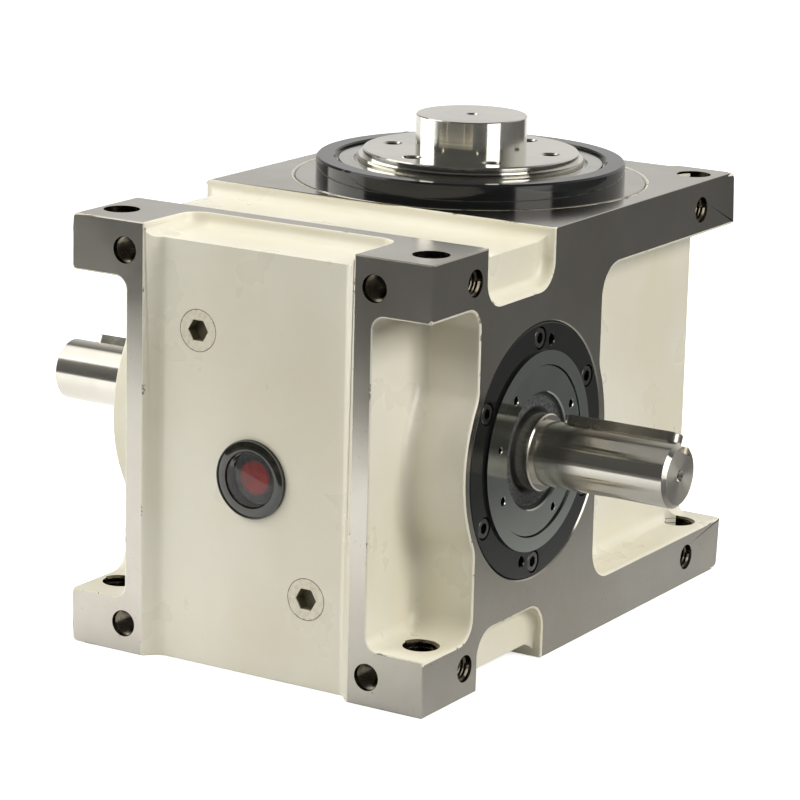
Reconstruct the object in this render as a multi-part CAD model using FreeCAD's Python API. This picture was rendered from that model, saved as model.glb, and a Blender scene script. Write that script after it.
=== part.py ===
import FreeCAD, Part
import math
import os

# Cam indexer with a flanged output, 80 mm between its input and output axes.
# Millimetres. +X runs along the input shaft and +Z along the output axis, and
# the origin is the centre of the base of the housing.

# Housing
centre_distance = 80.0
housing_width = 160.0
housing_length = 240.0
housing_height = 170.0
lug_thickness = 22.0
front_lug_length = 40.0
deck_margin = 1.2
web_front_reach = 46.0
web_rear_reach = 48.8
front_pocket_depth = 25.0
rear_pocket_depth = 17.0
front_pocket_radius = 8.0
rear_pocket_radius = 12.0
pocket_root_radius = 5.0
boss_wall = 4.9
boss_blend_radius = 10.0
channel_depth = 5.5
notch_radius = 9.5
channel_root_radius = 4.0
front_strip_width = 33.5
rear_strip_width = 23.0
panel_depth = 5.0
panel_slope = 5.0
panel_root_radius = 4.0
top_bar_width = 8.5
top_recess_radius = 8.0
rear_edge_radius = 3.0
left_edge_radius = 2.0

# Tapped holes of the housing: the drilled radius, the countersink and the place
lug_hole_radius = 6.0
lug_hole_sink = 1.0
lug_hole_inset_x = 11.0
lug_hole_inset_y = 16.5
face_hole_radius = 4.25
face_hole_sink = 1.0
face_hole_depth = 18.0
face_hole_inset_z = 11.5
front_hole_inset_x = 24.5
side_hole_inset_y = 30.0

# Inside of the housing
side_bore_gap = 0.4
turret_bore_gap = 1.1
chamber_side_wall = 38.0
chamber_front_wall = 12.0
chamber_radius = 10.0
chamber_roof = 22.0

# Fits
fit_gap = 0.02
running_gap = 0.05

# Input bearing covers, adjusting rings and seals
cover_flange_width = 9.6
cover_pocket_gap = 0.25
cover_thickness = 11.8
cover_recess = 0.2
cover_boss_width = 5.6
cover_boss_height = 1.1
cover_spigot_length = 18.0
cover_edge_radius = 0.5
cover_screw_inset = 5.7
cover_screw_count = 6
jack_hole_radius = 2.1
jack_hole_inset = 6.8
jack_hole_angle = 78.0
jack_hole_sink = 0.4
ring_overlap = 2.4
ring_recess = 0.8
ring_bore_radius = 22.7
ring_edge_chamfer = 0.5
spanner_hole_inset = 4.6
spanner_hole_radius = 1.6
spanner_hole_depth = 5.0
spanner_hole_sink = 0.3
spanner_hole_angles = (28.0, 127.0, 210.0, 299.0)
lock_hole_radius = 1.2
lock_hole_angle = 168.0
seal_depth = 1.8
seal_width = 6.0
seal_rim = 1.3
seal_face_step = 0.5
seal_lip = 1.5

# Socket screws: thread radius, head radius and height, key size
screw_radius = 2.5
screw_head_radius = 4.25
screw_head_height = 5.0
screw_head_chamfer = 0.5
screw_head_gap = 0.25
screw_hole_gap = 0.25
screw_tip_gap = 1.0
screw_sink = 0.3
screw_key_width = 4.0
screw_key_depth = 2.5
cover_screw_depth = 16.0
carrier_screw_depth = 16.0
lower_screw_depth = 14.0

# Input shaft: the shaft end, and the steps in radius from it to the cam
shaft_end_radius = 12.5
shaft_end_reach = 61.0
shaft_end_chamfer = 1.5
shaft_collar_step = 2.5
shaft_collar_reach = 4.3
shaft_collar_chamfer = 0.5
shaft_seat_step = 1.0
shaft_shoulder_step = 4.0
centre_hole_radius = 1.6
centre_hole_depth = 5.0
centre_sink_radius = 2.6
centre_sink_depth = 1.6
key_width = 8.0
key_height = 7.0
key_seat_depth = 4.0
key_edge_chamfer = 0.3
key_start_gap = 4.4
key_turn = 25.0
right_key_end_gap = 3.0
left_key_end_gap = 10.0

# Input bearings
input_bearing_outer_radius = 31.0
input_bearing_width = 20.0
input_roller_count = 16

# Cam and turret
stop_count = 8
roller_radius = 8.0
roller_bore_radius = 4.0
roller_inner_reach = 44.5
roller_width = 8.0
roller_edge = 0.6
groove_side_gap = 0.15
groove_floor_gap = 0.5
groove_end_turn = 2.0
groove_sections_per_turn = 24
cam_face_gap = 0.3
cam_half_width = 18.0
cam_hub_wall = 7.0
cam_hub_overhang = 2.0
cam_key_width = 6.0
cam_key_rise = 2.5
cam_key_depth = 3.0
cam_key_length = 30.0
turret_gap = 0.8
turret_thickness = 24.0
turret_edge_chamfer = 1.0
stud_head_radius = 6.0
stud_head_thickness = 0.9
stud_shoulder_radius = 5.5
stud_depth = 14.0

# Output shaft and flange
flange_inset = 2.0
flange_height = 11.5
flange_step_drop = 2.6
flange_step = 1.7
flange_edge_chamfer = 0.5
flange_hole_circle = 33.0
flange_hole_radius = 3.4
flange_hole_sink = 0.7
flange_hole_depth = 14.0
flange_hole_angle = 15.5
flange_hole_count = 6
boss_top_radius = 22.5
boss_height = 14.2
boss_chamfer = 0.4
neck_relief = 2.0
thread_step = 2.5
sleeve_seat_step = 1.5
turret_seat_step = 1.0
upper_seat_step = 5.0
shaft_relief = 1.0
turret_key_width = 10.0
turret_key_rise = 3.3
turret_key_depth = 4.0
turret_key_length = 18.0

# Output bearings: widths, rollers, and the rollers' share of the section
carrier_wall = 7.0
upper_bearing_width = 23.0
upper_roller_count = 20
lower_bearing_bore_radius = 22.5
lower_bearing_outer_radius = 37.5
lower_bearing_width = 20.0
lower_roller_count = 18
bearing_shoulder = 4.5
roller_tilt = 14.0
roller_section_share = 0.195
roller_length_share = 0.68
big_rib_share = 0.6
small_rib_share = 0.35

# Output bearing carrier, retainer ring and seal
carrier_rim = 8.2
carrier_flange = 14.0
carrier_spigot_length = 20.0
carrier_lip = 4.0
carrier_seam_gap = 0.2
carrier_seam_chamfer = 0.6
carrier_edge_chamfer = 0.4
carrier_screw_margin = 3.7
carrier_screw_count = 8
retainer_screw_cover = 0.15
retainer_height = 8.2
retainer_edge_chamfer = 0.8
retainer_bore_chamfer = 0.6
retainer_floor = 1.6
retainer_flange_gap = 0.5
retainer_spigot_step = 2.5
output_seal_width = 9.3
output_seal_drop = 1.2
output_seal_flange_gap = 0.15
output_seal_groove_width = 1.2
output_seal_groove_depth = 0.8
output_seal_slope = 0.4
output_seal_lip_width = 1.8
output_seal_lip_depth = 1.2
output_seal_edge = 0.6

# Lower end of the output shaft and its cover
locknut_wall = 8.0
locknut_thickness = 8.0
locknut_slot_width = 6.0
locknut_slot_depth = 2.5
locknut_slot_floor = 2.0
locknut_slot_count = 4
locknut_chamfer = 1.0
washer_thickness = 1.2
thread_end_length = 3.0
shaft_end_room = 5.2
locknut_room = 2.5
lower_cover_rim = 10.5
lower_cover_thickness = 9.0
lower_cover_plate = 6.0
lower_cover_inset = 0.6
lower_cover_chamfer = 0.6
lower_screw_margin = 5.3
lower_screw_count = 6
lower_lip_thickness = 8.0

# Plugs and sight glass of the front panel
plug_radius = 8.25
plug_key_width = 8.0
plug_key_depth = 5.0
fill_plug_x = -25.1
fill_plug_drop = 39.2
drain_plug_x = 25.1
drain_plug_z = 34.7
sight_drop = 7.8
sight_thread_radius = 12.5
sight_flange_radius = 15.25
sight_flange_height = 1.6
sight_edge_chamfer = 0.5
sight_window_radius = 11.0
sight_ledge = 1.5
sight_glass_thickness = 3.0
sight_glass_recess = 0.5
sight_disc_radius = 7.0
sight_disc_thickness = 1.0
sight_disc_dish = 0.2

# How far a cutting tool runs past the face that it cuts, and what counts as equal
past = 5.0
nearly = 1e-4

# Places that follow from the values above
half_width = housing_width / 2
half_length = housing_length / 2
front_y = -half_length
rear_y = half_length
input_axis_y = -centre_distance / 2
output_axis_y = centre_distance / 2
input_axis_z = housing_height / 2
low_pocket_z = lug_thickness
high_pocket_z = housing_height - lug_thickness
channel_z = housing_height - channel_depth
front_lug_end_y = front_y + front_lug_length
strip_inner_x = half_width - front_strip_width
rear_strip_inner_x = half_width - rear_strip_width
panel_y = front_y + panel_depth
rear_panel_y = rear_y - panel_depth

# Cam and turret, from the rollers outwards
roller_outer_reach = roller_inner_reach + roller_width
stud_tip_reach = roller_outer_reach + stud_head_thickness
cam_face_reach = roller_inner_reach - cam_face_gap
cam_waist_radius = centre_distance - cam_face_reach
cam_edge_radius = centre_distance - math.sqrt(cam_face_reach ** 2 - cam_half_width ** 2)
cam_hub_x = cam_half_width + cam_hub_overhang
groove_floor_reach = stud_tip_reach + groove_floor_gap
turret_radius = roller_inner_reach - turret_gap
turret_bottom_z = input_axis_z - turret_thickness / 2
turret_top_z = input_axis_z + turret_thickness / 2

# Input side, from the bore that the cam passes through
side_bore_radius = cam_edge_radius + side_bore_gap
cover_radius = side_bore_radius + cover_flange_width
cover_screw_circle = cover_radius - cover_screw_inset
jack_hole_circle = cover_radius - jack_hole_inset
boss_radius = cover_radius + boss_wall
ring_radius = input_bearing_outer_radius + ring_overlap
cover_boss_radius = ring_radius + cover_boss_width
spanner_hole_circle = ring_radius - spanner_hole_inset
cover_face_x = half_width - cover_recess
cover_seat_x = cover_face_x - cover_thickness
boss_face_x = cover_face_x + cover_boss_height
ring_face_x = boss_face_x - ring_recess
bearing_inner_x = cover_seat_x - input_bearing_width
shaft_collar_radius = shaft_end_radius + shaft_collar_step
shaft_seat_radius = shaft_collar_radius + shaft_seat_step
shaft_shoulder_radius = shaft_seat_radius + shaft_shoulder_step
cam_hub_radius = shaft_seat_radius + cam_hub_wall
shaft_end_x = half_width + shaft_end_reach
collar_end_x = half_width + shaft_collar_reach

# Output side, from the bore that the turret turns in
turret_bore_radius = stud_tip_reach + turret_bore_gap
upper_bearing_outer_radius = turret_bore_radius - carrier_wall
flange_radius = upper_bearing_outer_radius - flange_inset
flange_step_radius = flange_radius - flange_step
retainer_spigot_radius = upper_bearing_outer_radius + retainer_spigot_step
retainer_bore_radius = flange_radius + output_seal_width
carrier_screw_circle = turret_bore_radius + carrier_screw_margin
retainer_radius = carrier_screw_circle + screw_head_radius + retainer_screw_cover
carrier_radius = retainer_radius + carrier_rim
carrier_seat_z = housing_height - carrier_flange
carrier_end_z = carrier_seat_z - carrier_spigot_length
upper_bearing_z = carrier_end_z + carrier_lip
upper_bearing_top_z = upper_bearing_z + upper_bearing_width
retainer_top_z = housing_height + retainer_height
flange_top_z = housing_height + flange_height
boss_top_z = flange_top_z + boss_height
deck_front_y = output_axis_y - carrier_radius - deck_margin

# Lower end of the output shaft, from the base upwards
thread_radius = lower_bearing_bore_radius - thread_step
sleeve_seat_radius = lower_bearing_bore_radius + sleeve_seat_step
turret_seat_radius = sleeve_seat_radius + turret_seat_step
upper_bearing_bore_radius = turret_seat_radius + upper_seat_step
shaft_body_radius = upper_bearing_bore_radius - shaft_relief
locknut_radius = thread_radius + locknut_wall
cover_cavity_radius = locknut_radius + locknut_room
lower_cover_radius = lower_bearing_outer_radius + lower_cover_rim
lower_screw_circle = lower_bearing_outer_radius + lower_screw_margin
lower_cover_top_z = lower_cover_inset + lower_cover_thickness
cover_plate_top_z = lower_cover_inset + lower_cover_plate
shaft_bottom_z = cover_plate_top_z + shaft_end_room
locknut_bottom_z = shaft_bottom_z + thread_end_length
locknut_top_z = locknut_bottom_z + locknut_thickness
lower_bearing_z = locknut_top_z + washer_thickness
lower_bearing_top_z = lower_bearing_z + lower_bearing_width
floor_z = lower_bearing_top_z + lower_lip_thickness

# Plugs and sight glass
fill_plug_z = housing_height - fill_plug_drop
sight_z = input_axis_z - sight_drop

X = FreeCAD.Vector(1, 0, 0)
Y = FreeCAD.Vector(0, 1, 0)
Z = FreeCAD.Vector(0, 0, 1)
vector = FreeCAD.Vector
input_centre = vector(0, input_axis_y, input_axis_z)
output_centre = vector(0, output_axis_y, 0)

nodes = {}


def box(low, high):
    size = [b - a for a, b in zip(low, high)]
    return Part.makeBox(size[0], size[1], size[2], vector(*low))


def rod(axis, start, radius, length):
    return Part.makeCylinder(radius, length, start, axis)


def turned(points):
    """A solid of revolution about Z from (radius, height) points."""
    outline = Part.makePolygon([vector(r, 0, z) for r, z in points + points[:1]])
    return Part.Face(outline).revolve(vector(0, 0, 0), Z, 360)


def prism(points, direction):
    return Part.Face(Part.makePolygon(points + points[:1])).extrude(direction)


def facing_right(shape, place):
    """Set a shape made along Z at a place, its top to +X."""
    laid = shape.copy()
    laid.Placement = FreeCAD.Placement(place, FreeCAD.Rotation(Y, 90)).multiply(laid.Placement)
    return laid


def on_input(shape):
    return facing_right(shape, input_centre)


def on_output(shape):
    return shape.translated(output_centre)


def mirrored(shape):
    return shape.mirror(vector(0, 0, 0), X)


def both_sides(shape):
    return shape.fuse(mirrored(shape))


def top_and_base(shape):
    return shape.fuse(shape.mirror(vector(0, 0, housing_height / 2), Z))


def edges_where(shape, keep):
    return [e for e in shape.Edges if keep(e.BoundBox)]


def flat(low, high, value):
    return abs(low - value) < nearly and abs(high - value) < nearly


def runs_along(box_of_edge, axis):
    """Whether an edge is longest along X, Y or Z."""
    lengths = {"X": box_of_edge.XLength, "Y": box_of_edge.YLength, "Z": box_of_edge.ZLength}
    return max(lengths, key=lengths.get) == axis


def rounded(shape, radius, keep):
    return shape.makeFillet(radius, edges_where(shape, keep))


def hexagon(width, length, start, direction):
    """A hexagonal prism along Y or Z, its width measured across the flats."""
    corner = width / math.sqrt(3)
    points = []
    for i in range(6):
        turn = FreeCAD.Rotation(direction, 60 * i)
        points.append(start + turn.multVec(X) * corner)
    return prism(points, direction * length)


def ring_of(shape, centre, axis, count, first_angle):
    copies = []
    for i in range(count):
        copy = shape.copy()
        copy.rotate(centre, axis, first_angle + 360.0 * i / count)
        copies.append(copy)
    return copies


def socket_screw(length):
    """A socket screw along Z, its head from zero upwards."""
    head = rod(Z, vector(0, 0, 0), screw_head_radius, screw_head_height)
    top_edge = edges_where(head, lambda b: flat(b.ZMin, b.ZMax, screw_head_height))
    head = head.makeChamfer(screw_head_chamfer, top_edge)
    shank = rod(Z, vector(0, 0, -length), screw_radius, length)
    socket = hexagon(screw_key_width, screw_key_depth, vector(0, 0, screw_head_height - screw_key_depth), Z)
    return head.fuse(shank).removeSplitter().cut(socket)


def screw_hole(flange):
    """The room for a socket screw in a flange whose face is at zero."""
    head_room = screw_sink + screw_head_height
    head = rod(Z, vector(0, 0, -head_room), screw_head_radius + screw_head_gap, head_room + past)
    shank = rod(Z, vector(0, 0, -flange - past), screw_radius + screw_hole_gap, flange + past)
    return head.fuse(shank)


def screw_through(flange, depth):
    """A socket screw in a flange whose face is at zero, reaching into a hole of this depth."""
    head_bottom = -screw_sink - screw_head_height
    return socket_screw(depth - screw_tip_gap + flange + head_bottom).translated(Z * head_bottom)


def tapped_hole(start, inward, radius, depth, sink):
    """The drilled hole of a thread with its countersunk mouth."""
    drill = rod(inward, start - inward * past, radius, depth + past)
    mouth = Part.makeCone(radius + sink, radius, sink, start, inward)
    return drill.fuse(mouth)


def centre_hole(start, inward):
    drill = rod(inward, start, centre_hole_radius, centre_hole_depth)
    mouth = Part.makeCone(centre_sink_radius, centre_hole_radius, centre_sink_depth, start, inward)
    return drill.fuse(mouth)


def at_input_angle(radius, angle, x):
    turn = math.radians(angle)
    return vector(x, input_axis_y + radius * math.cos(turn), input_axis_z + radius * math.sin(turn))


def cover_screw_places(x):
    step = 360.0 / cover_screw_count
    return [at_input_angle(cover_screw_circle, 90 + step * i, x) for i in range(cover_screw_count)]


def tapered_bearing(bore, outer, width, count):
    """Inner race, rollers and outer race about Z, the small end at the top."""
    tilt = math.radians(roller_tilt)
    pitch = (bore + outer) / 2
    apex = width / 2 + pitch / math.tan(tilt)
    middle = pitch / math.sin(tilt)
    spread = math.atan(roller_section_share * (outer - bore) / middle)
    start = middle - roller_length_share * width / 2
    end = middle + roller_length_share * width / 2
    big = end * math.tan(spread)
    small = start * math.tan(spread)

    def inner_raceway(z):
        return (apex - z) * math.tan(tilt - spread) - running_gap

    def outer_raceway(z):
        return (apex - z) * math.tan(tilt + spread) + running_gap

    roller = Part.makeCone(small, big, end - start, vector(0, 0, start), Z)
    roller.rotate(vector(0, 0, 0), Y, 180 - roller_tilt)
    roller.translate(Z * apex)
    rollers = Part.makeCompound(ring_of(roller, vector(0, 0, 0), Z, count, 0))
    low = roller.BoundBox.ZMin
    high = roller.BoundBox.ZMax
    rib_low = low - 2 * running_gap
    rib_high = high + 2 * running_gap
    big_rib = inner_raceway(low) + big * big_rib_share
    small_rib = inner_raceway(high) + small * small_rib_share
    inner = turned([
        (bore + fit_gap, 0), (big_rib, 0), (big_rib, rib_low), (inner_raceway(rib_low), rib_low),
        (inner_raceway(rib_high), rib_high), (small_rib, rib_high), (small_rib, width),
        (bore + fit_gap, width)])
    outer_race = turned([
        (outer_raceway(rib_low), rib_low), (outer, rib_low), (outer, width), (outer_raceway(width), width)])
    return inner, rollers, outer_race


def make_housing():
    body = box((-half_width, front_y, 0), (half_width, rear_y, housing_height))
    body = rounded(body, rear_edge_radius,
                   lambda b: flat(b.YMin, b.YMax, rear_y) and runs_along(b, "X"))
    body = rounded(body, left_edge_radius,
                   lambda b: flat(b.XMin, b.XMax, -half_width) and runs_along(b, "Y"))
    for tool in pocket_tools() + channel_tools() + panel_tools() + bore_tools() + hole_tools():
        body = body.cut(tool)
    return body


def pocket_tools():
    """The four corner pockets beside the webs that carry the bearing bosses."""
    boss = rod(X, input_centre, boss_radius, half_width + 2 * past)
    front_web_y = input_axis_y - web_front_reach
    rear_web_y = input_axis_y + web_rear_reach
    tools = []
    for wall_x, web_y, open_y, radius in (
            (half_width - front_pocket_depth, front_web_y, front_y - past, front_pocket_radius),
            (half_width - rear_pocket_depth, rear_web_y, rear_y + past, rear_pocket_radius)):
        low = (wall_x, min(web_y, open_y), low_pocket_z)
        high = (half_width + past, max(web_y, open_y), high_pocket_z)
        tool = box(low, high).cut(boss)

        def on_web(b):
            return runs_along(b, "X") and flat(b.YMin, b.YMax, web_y)

        def at_corner(b):
            return flat(b.ZMin, b.ZMax, low_pocket_z) or flat(b.ZMin, b.ZMax, high_pocket_z)

        tool = rounded(tool, radius, lambda b: on_web(b) and at_corner(b))
        tool = rounded(tool, boss_blend_radius,
                       lambda b: on_web(b) and low_pocket_z + radius < b.ZMin < high_pocket_z - radius)
        tool = rounded(tool, pocket_root_radius,
                       lambda b: flat(b.XMin, b.XMax, wall_x) and not flat(b.YMin, b.YMax, open_y))
        tools.append(both_sides(tool))
    return tools


def channel_tools():
    """The shallow channel across the top and base, and its notches in the sides."""
    floor_x = half_width - channel_depth
    outer_x = half_width + past
    outer_z = housing_height + past
    notch = box((floor_x, front_lug_end_y, high_pocket_z), (outer_x, deck_front_y, outer_z))
    notch = rounded(notch, notch_radius,
                    lambda b: runs_along(b, "X") and flat(b.ZMin, b.ZMax, high_pocket_z))
    notch = rounded(notch, channel_root_radius,
                    lambda b: flat(b.XMin, b.XMax, floor_x) and not flat(b.ZMin, b.ZMax, outer_z))
    channel = box((-outer_x, front_lug_end_y, channel_z), (outer_x, deck_front_y, outer_z))
    channel = rounded(channel, channel_root_radius,
                      lambda b: runs_along(b, "X") and flat(b.ZMin, b.ZMax, channel_z))
    return [top_and_base(both_sides(notch)), top_and_base(channel)]


def panel_tools():
    """What clears the front and rear panels, and the recess above the front one."""
    def slot(face_y, floor_y, edge_x):
        outer_y = 2 * face_y - floor_y
        outer_x = edge_x + panel_slope
        floor_x = edge_x - panel_slope
        points = [(-outer_x, outer_y), (outer_x, outer_y), (floor_x, floor_y), (-floor_x, floor_y)]
        tool = prism([vector(x, y, -past) for x, y in points], Z * (housing_height + 2 * past))
        return rounded(tool, panel_root_radius,
                       lambda b: runs_along(b, "Z") and flat(b.YMin, b.YMax, floor_y))

    between_lugs = box((-half_width + rear_pocket_depth - past, rear_panel_y, low_pocket_z),
                       (half_width - rear_pocket_depth + past, rear_y + past, high_pocket_z))
    bar_y = front_lug_end_y - top_bar_width
    recess = box((-strip_inner_x, front_y - past, channel_z), (strip_inner_x, bar_y, housing_height + past))
    recess = rounded(recess, top_recess_radius,
                     lambda b: runs_along(b, "Z") and flat(b.YMin, b.YMax, bar_y))
    recess = rounded(recess, channel_root_radius,
                     lambda b: flat(b.ZMin, b.ZMax, channel_z) and not flat(b.YMin, b.YMax, front_y - past))
    front_slot = slot(front_y, panel_y, strip_inner_x)
    rear_slot = slot(rear_y, rear_panel_y, rear_strip_inner_x)
    return [front_slot, rear_slot, between_lugs, recess]


def bore_tools():
    """The side bore, the chamber in front of the cam and the stepped output bore."""
    side_bore = rod(X, input_centre - X * (half_width + past), side_bore_radius, housing_width + 2 * past)
    seat = rod(X, input_centre + X * cover_seat_x, cover_radius + cover_pocket_gap, half_width)

    chamber_front_y = panel_y + chamber_front_wall
    chamber = box((chamber_side_wall - half_width, chamber_front_y, chamber_roof),
                  (half_width - chamber_side_wall, input_axis_y - side_bore_radius / 2,
                   housing_height - chamber_roof))
    chamber = rounded(chamber, chamber_radius,
                      lambda b: runs_along(b, "Y") or flat(b.YMin, b.YMax, chamber_front_y))

    cover_seat = lower_cover_radius + fit_gap
    cup_seat = lower_bearing_outer_radius + fit_gap
    lip = lower_bearing_outer_radius - bearing_shoulder
    carrier_seat = carrier_radius + carrier_seam_gap
    carrier_mouth = carrier_seat + carrier_seam_chamfer
    seam_bottom_z = housing_height - carrier_seam_chamfer
    output_bore = turned([
        (0, -past), (cover_seat, -past), (cover_seat, lower_cover_top_z), (cup_seat, lower_cover_top_z),
        (cup_seat, lower_bearing_top_z), (lip, lower_bearing_top_z), (lip, floor_z),
        (turret_bore_radius, floor_z), (turret_bore_radius, carrier_seat_z), (carrier_seat, carrier_seat_z),
        (carrier_seat, seam_bottom_z), (carrier_mouth, housing_height),
        (carrier_mouth, housing_height + past), (0, housing_height + past)])
    return [side_bore, both_sides(seat), chamber, on_output(output_bore)]


def hole_tools():
    """Tapped holes: through the lugs, and blind in the front and side faces."""
    holes = []
    lug_x = half_width - lug_hole_inset_x
    lug_y = half_length - lug_hole_inset_y
    for x in (-lug_x, lug_x):
        for y in (-lug_y, lug_y):
            for face_z, inward in ((0, Z), (housing_height, Z * -1)):
                start = vector(x, y, face_z)
                depth = lug_thickness + past
                holes.append(tapped_hole(start, inward, lug_hole_radius, depth, lug_hole_sink))
    front_x = half_width - front_hole_inset_x
    side_y = half_length - side_hole_inset_y
    for z in (face_hole_inset_z, housing_height - face_hole_inset_z):
        for x in (-front_x, front_x):
            start = vector(x, front_y, z)
            holes.append(tapped_hole(start, Y, face_hole_radius, face_hole_depth, face_hole_sink))
        for y in (-side_y, side_y):
            start = vector(half_width, y, z)
            hole = tapped_hole(start, X * -1, face_hole_radius, face_hole_depth, face_hole_sink)
            holes += [hole, mirrored(hole)]
    for place in cover_screw_places(cover_seat_x):
        hole = rod(X * -1, place, screw_radius + fit_gap, cover_screw_depth)
        holes += [hole, mirrored(hole)]
    screw_place = vector(carrier_screw_circle, 0, carrier_seat_z)
    hole = rod(Z * -1, screw_place, screw_radius + fit_gap, carrier_screw_depth)
    holes += ring_of(on_output(hole), output_centre, Z, carrier_screw_count, 0)
    screw_place = vector(lower_screw_circle, 0, lower_cover_top_z)
    hole = rod(Z, screw_place, screw_radius + fit_gap, lower_screw_depth)
    holes += ring_of(on_output(hole), output_centre, Z, lower_screw_count, 0)
    for radius, x, z in ((plug_radius, fill_plug_x, fill_plug_z), (plug_radius, drain_plug_x, drain_plug_z),
                         (sight_thread_radius, 0, sight_z)):
        holes.append(rod(Y, vector(x, panel_y - past, z), radius + fit_gap, chamber_front_wall + 2 * past))
    return holes


def make_input_covers():
    spigot = side_bore_radius - fit_gap
    spigot_end = cover_seat_x - cover_spigot_length
    bearing_bore = input_bearing_outer_radius + fit_gap
    cover = turned([
        (ring_radius, boss_face_x), (cover_boss_radius, boss_face_x), (cover_boss_radius, cover_face_x),
        (cover_radius, cover_face_x), (cover_radius, cover_seat_x), (spigot, cover_seat_x),
        (spigot, spigot_end), (bearing_bore, spigot_end), (bearing_bore, cover_seat_x),
        (ring_radius, cover_seat_x)])
    cover = rounded(cover, cover_edge_radius,
                    lambda b: flat(b.ZMin, b.ZMax, cover_face_x) and abs(b.XMax - cover_radius) < nearly)
    cover = on_input(cover)
    hole = screw_hole(cover_thickness)
    for place in cover_screw_places(cover_face_x):
        cover = cover.cut(facing_right(hole, place))
    for turn in (0, 180):
        start = at_input_angle(jack_hole_circle, jack_hole_angle + turn, cover_face_x)
        hole = tapped_hole(start, X * -1, jack_hole_radius, cover_thickness + past, jack_hole_sink)
        cover = cover.cut(hole)
    screw = screw_through(cover_thickness, cover_screw_depth)
    screws = Part.makeCompound([facing_right(screw, place) for place in cover_screw_places(cover_face_x)])

    c = ring_edge_chamfer
    outer = ring_radius - fit_gap
    ring = on_input(turned([
        (ring_bore_radius, cover_seat_x), (outer, cover_seat_x), (outer, ring_face_x - c),
        (outer - c, ring_face_x), (ring_bore_radius + c, ring_face_x),
        (ring_bore_radius, ring_face_x - c)]))
    for angle in spanner_hole_angles:
        start = at_input_angle(spanner_hole_circle, angle, ring_face_x)
        hole = tapped_hole(start, X * -1, spanner_hole_radius, spanner_hole_depth, spanner_hole_sink)
        ring = ring.cut(hole)
    start = at_input_angle(spanner_hole_circle, lock_hole_angle, ring_face_x)
    ring = ring.cut(tapped_hole(start, X * -1, lock_hole_radius, spanner_hole_depth, spanner_hole_sink))

    rim_x = ring_face_x - seal_depth
    face_x = rim_x - seal_face_step
    outer = ring_bore_radius - fit_gap
    rim = ring_bore_radius - seal_rim
    lip = shaft_collar_radius + running_gap
    seal = on_input(turned([
        (lip, rim_x - seal_width), (outer, rim_x - seal_width), (outer, rim_x), (rim, rim_x),
        (rim - seal_face_step, face_x), (lip + seal_lip, face_x), (lip, face_x - seal_lip)]))
    for node, shape in (("input_cover", cover), ("input_cover_screws", screws),
                        ("adjusting_ring", ring), ("input_seal", seal)):
        nodes[node + "_right"] = shape
        nodes[node + "_left"] = mirrored(shape)


def make_input_bearings():
    inner, rollers, outer = tapered_bearing(
        shaft_collar_radius, input_bearing_outer_radius, input_bearing_width, input_roller_count)
    for node, shape in (("input_inner_race", inner), ("input_bearing_rollers", rollers),
                        ("input_outer_race", outer)):
        right = on_input(shape.translated(Z * bearing_inner_x))
        nodes[node + "_right"] = right
        nodes[node + "_left"] = mirrored(right)


def rounded_key(start, end, width, low, high):
    """A key along X, both ends round, between two heights over the axis."""
    r = width / 2
    bar = box((start + r, -r, low), (end - r, r, high))
    bar = bar.fuse(rod(Z, vector(start + r, 0, low), r, high - low))
    return bar.fuse(rod(Z, vector(end - r, 0, low), r, high - low)).removeSplitter()


def make_input_shaft():
    collar_c = shaft_collar_chamfer
    end_c = shaft_end_chamfer

    def outer_half(side):
        return [
            (shaft_collar_radius, side * bearing_inner_x),
            (shaft_collar_radius, side * (collar_end_x - collar_c)),
            (shaft_collar_radius - collar_c, side * collar_end_x), (shaft_end_radius, side * collar_end_x),
            (shaft_end_radius, side * (shaft_end_x - end_c)),
            (shaft_end_radius - end_c, side * shaft_end_x),
            (0, side * shaft_end_x)]

    right = [(shaft_seat_radius, bearing_inner_x)] + outer_half(1)
    left = [(shaft_seat_radius, -cam_hub_x), (shaft_shoulder_radius, -cam_hub_x),
            (shaft_shoulder_radius, -bearing_inner_x)] + outer_half(-1)
    shaft = on_input(turned(left[::-1] + right))
    key_low = shaft_end_radius - key_seat_depth
    key_high = key_low + key_height
    key_start = collar_end_x + key_start_gap
    for name, end_gap in (("right", right_key_end_gap), ("left", left_key_end_gap)):
        key_end = shaft_end_x - end_gap
        key = rounded_key(key_start, key_end, key_width - 2 * fit_gap, key_low + fit_gap, key_high)
        key = key.makeChamfer(key_edge_chamfer, edges_where(key, lambda b: flat(b.ZMin, b.ZMax, key_high)))
        seat = rounded_key(key_start, shaft_end_x + key_width, key_width, key_low, key_high)
        for shape in (key, seat):
            shape.rotate(vector(0, 0, 0), X, -key_turn)
            shape.translate(input_centre)
        end = centre_hole(input_centre + X * shaft_end_x, X * -1)
        for tool in (seat, end):
            shaft = shaft.cut(tool if name == "right" else mirrored(tool))
        nodes["shaft_key_" + name] = key if name == "right" else mirrored(key)

    half_key = cam_key_length / 2
    seat_low = shaft_seat_radius - cam_key_depth
    seat_top = shaft_seat_radius + cam_key_rise
    seat = rounded_key(-half_key, half_key, cam_key_width, seat_low, seat_top)
    nodes["input_shaft"] = shaft.cut(seat.translated(input_centre))
    key = rounded_key(-half_key + fit_gap, half_key - fit_gap, cam_key_width - 2 * fit_gap,
                      seat_low + fit_gap, seat_top)
    nodes["cam_key"] = key.translated(input_centre)
    spacer = turned([
        (shaft_seat_radius + fit_gap, cam_hub_x), (shaft_shoulder_radius, cam_hub_x),
        (shaft_shoulder_radius, bearing_inner_x), (shaft_seat_radius + fit_gap, bearing_inner_x)])
    nodes["input_spacer"] = on_input(spacer)


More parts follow.
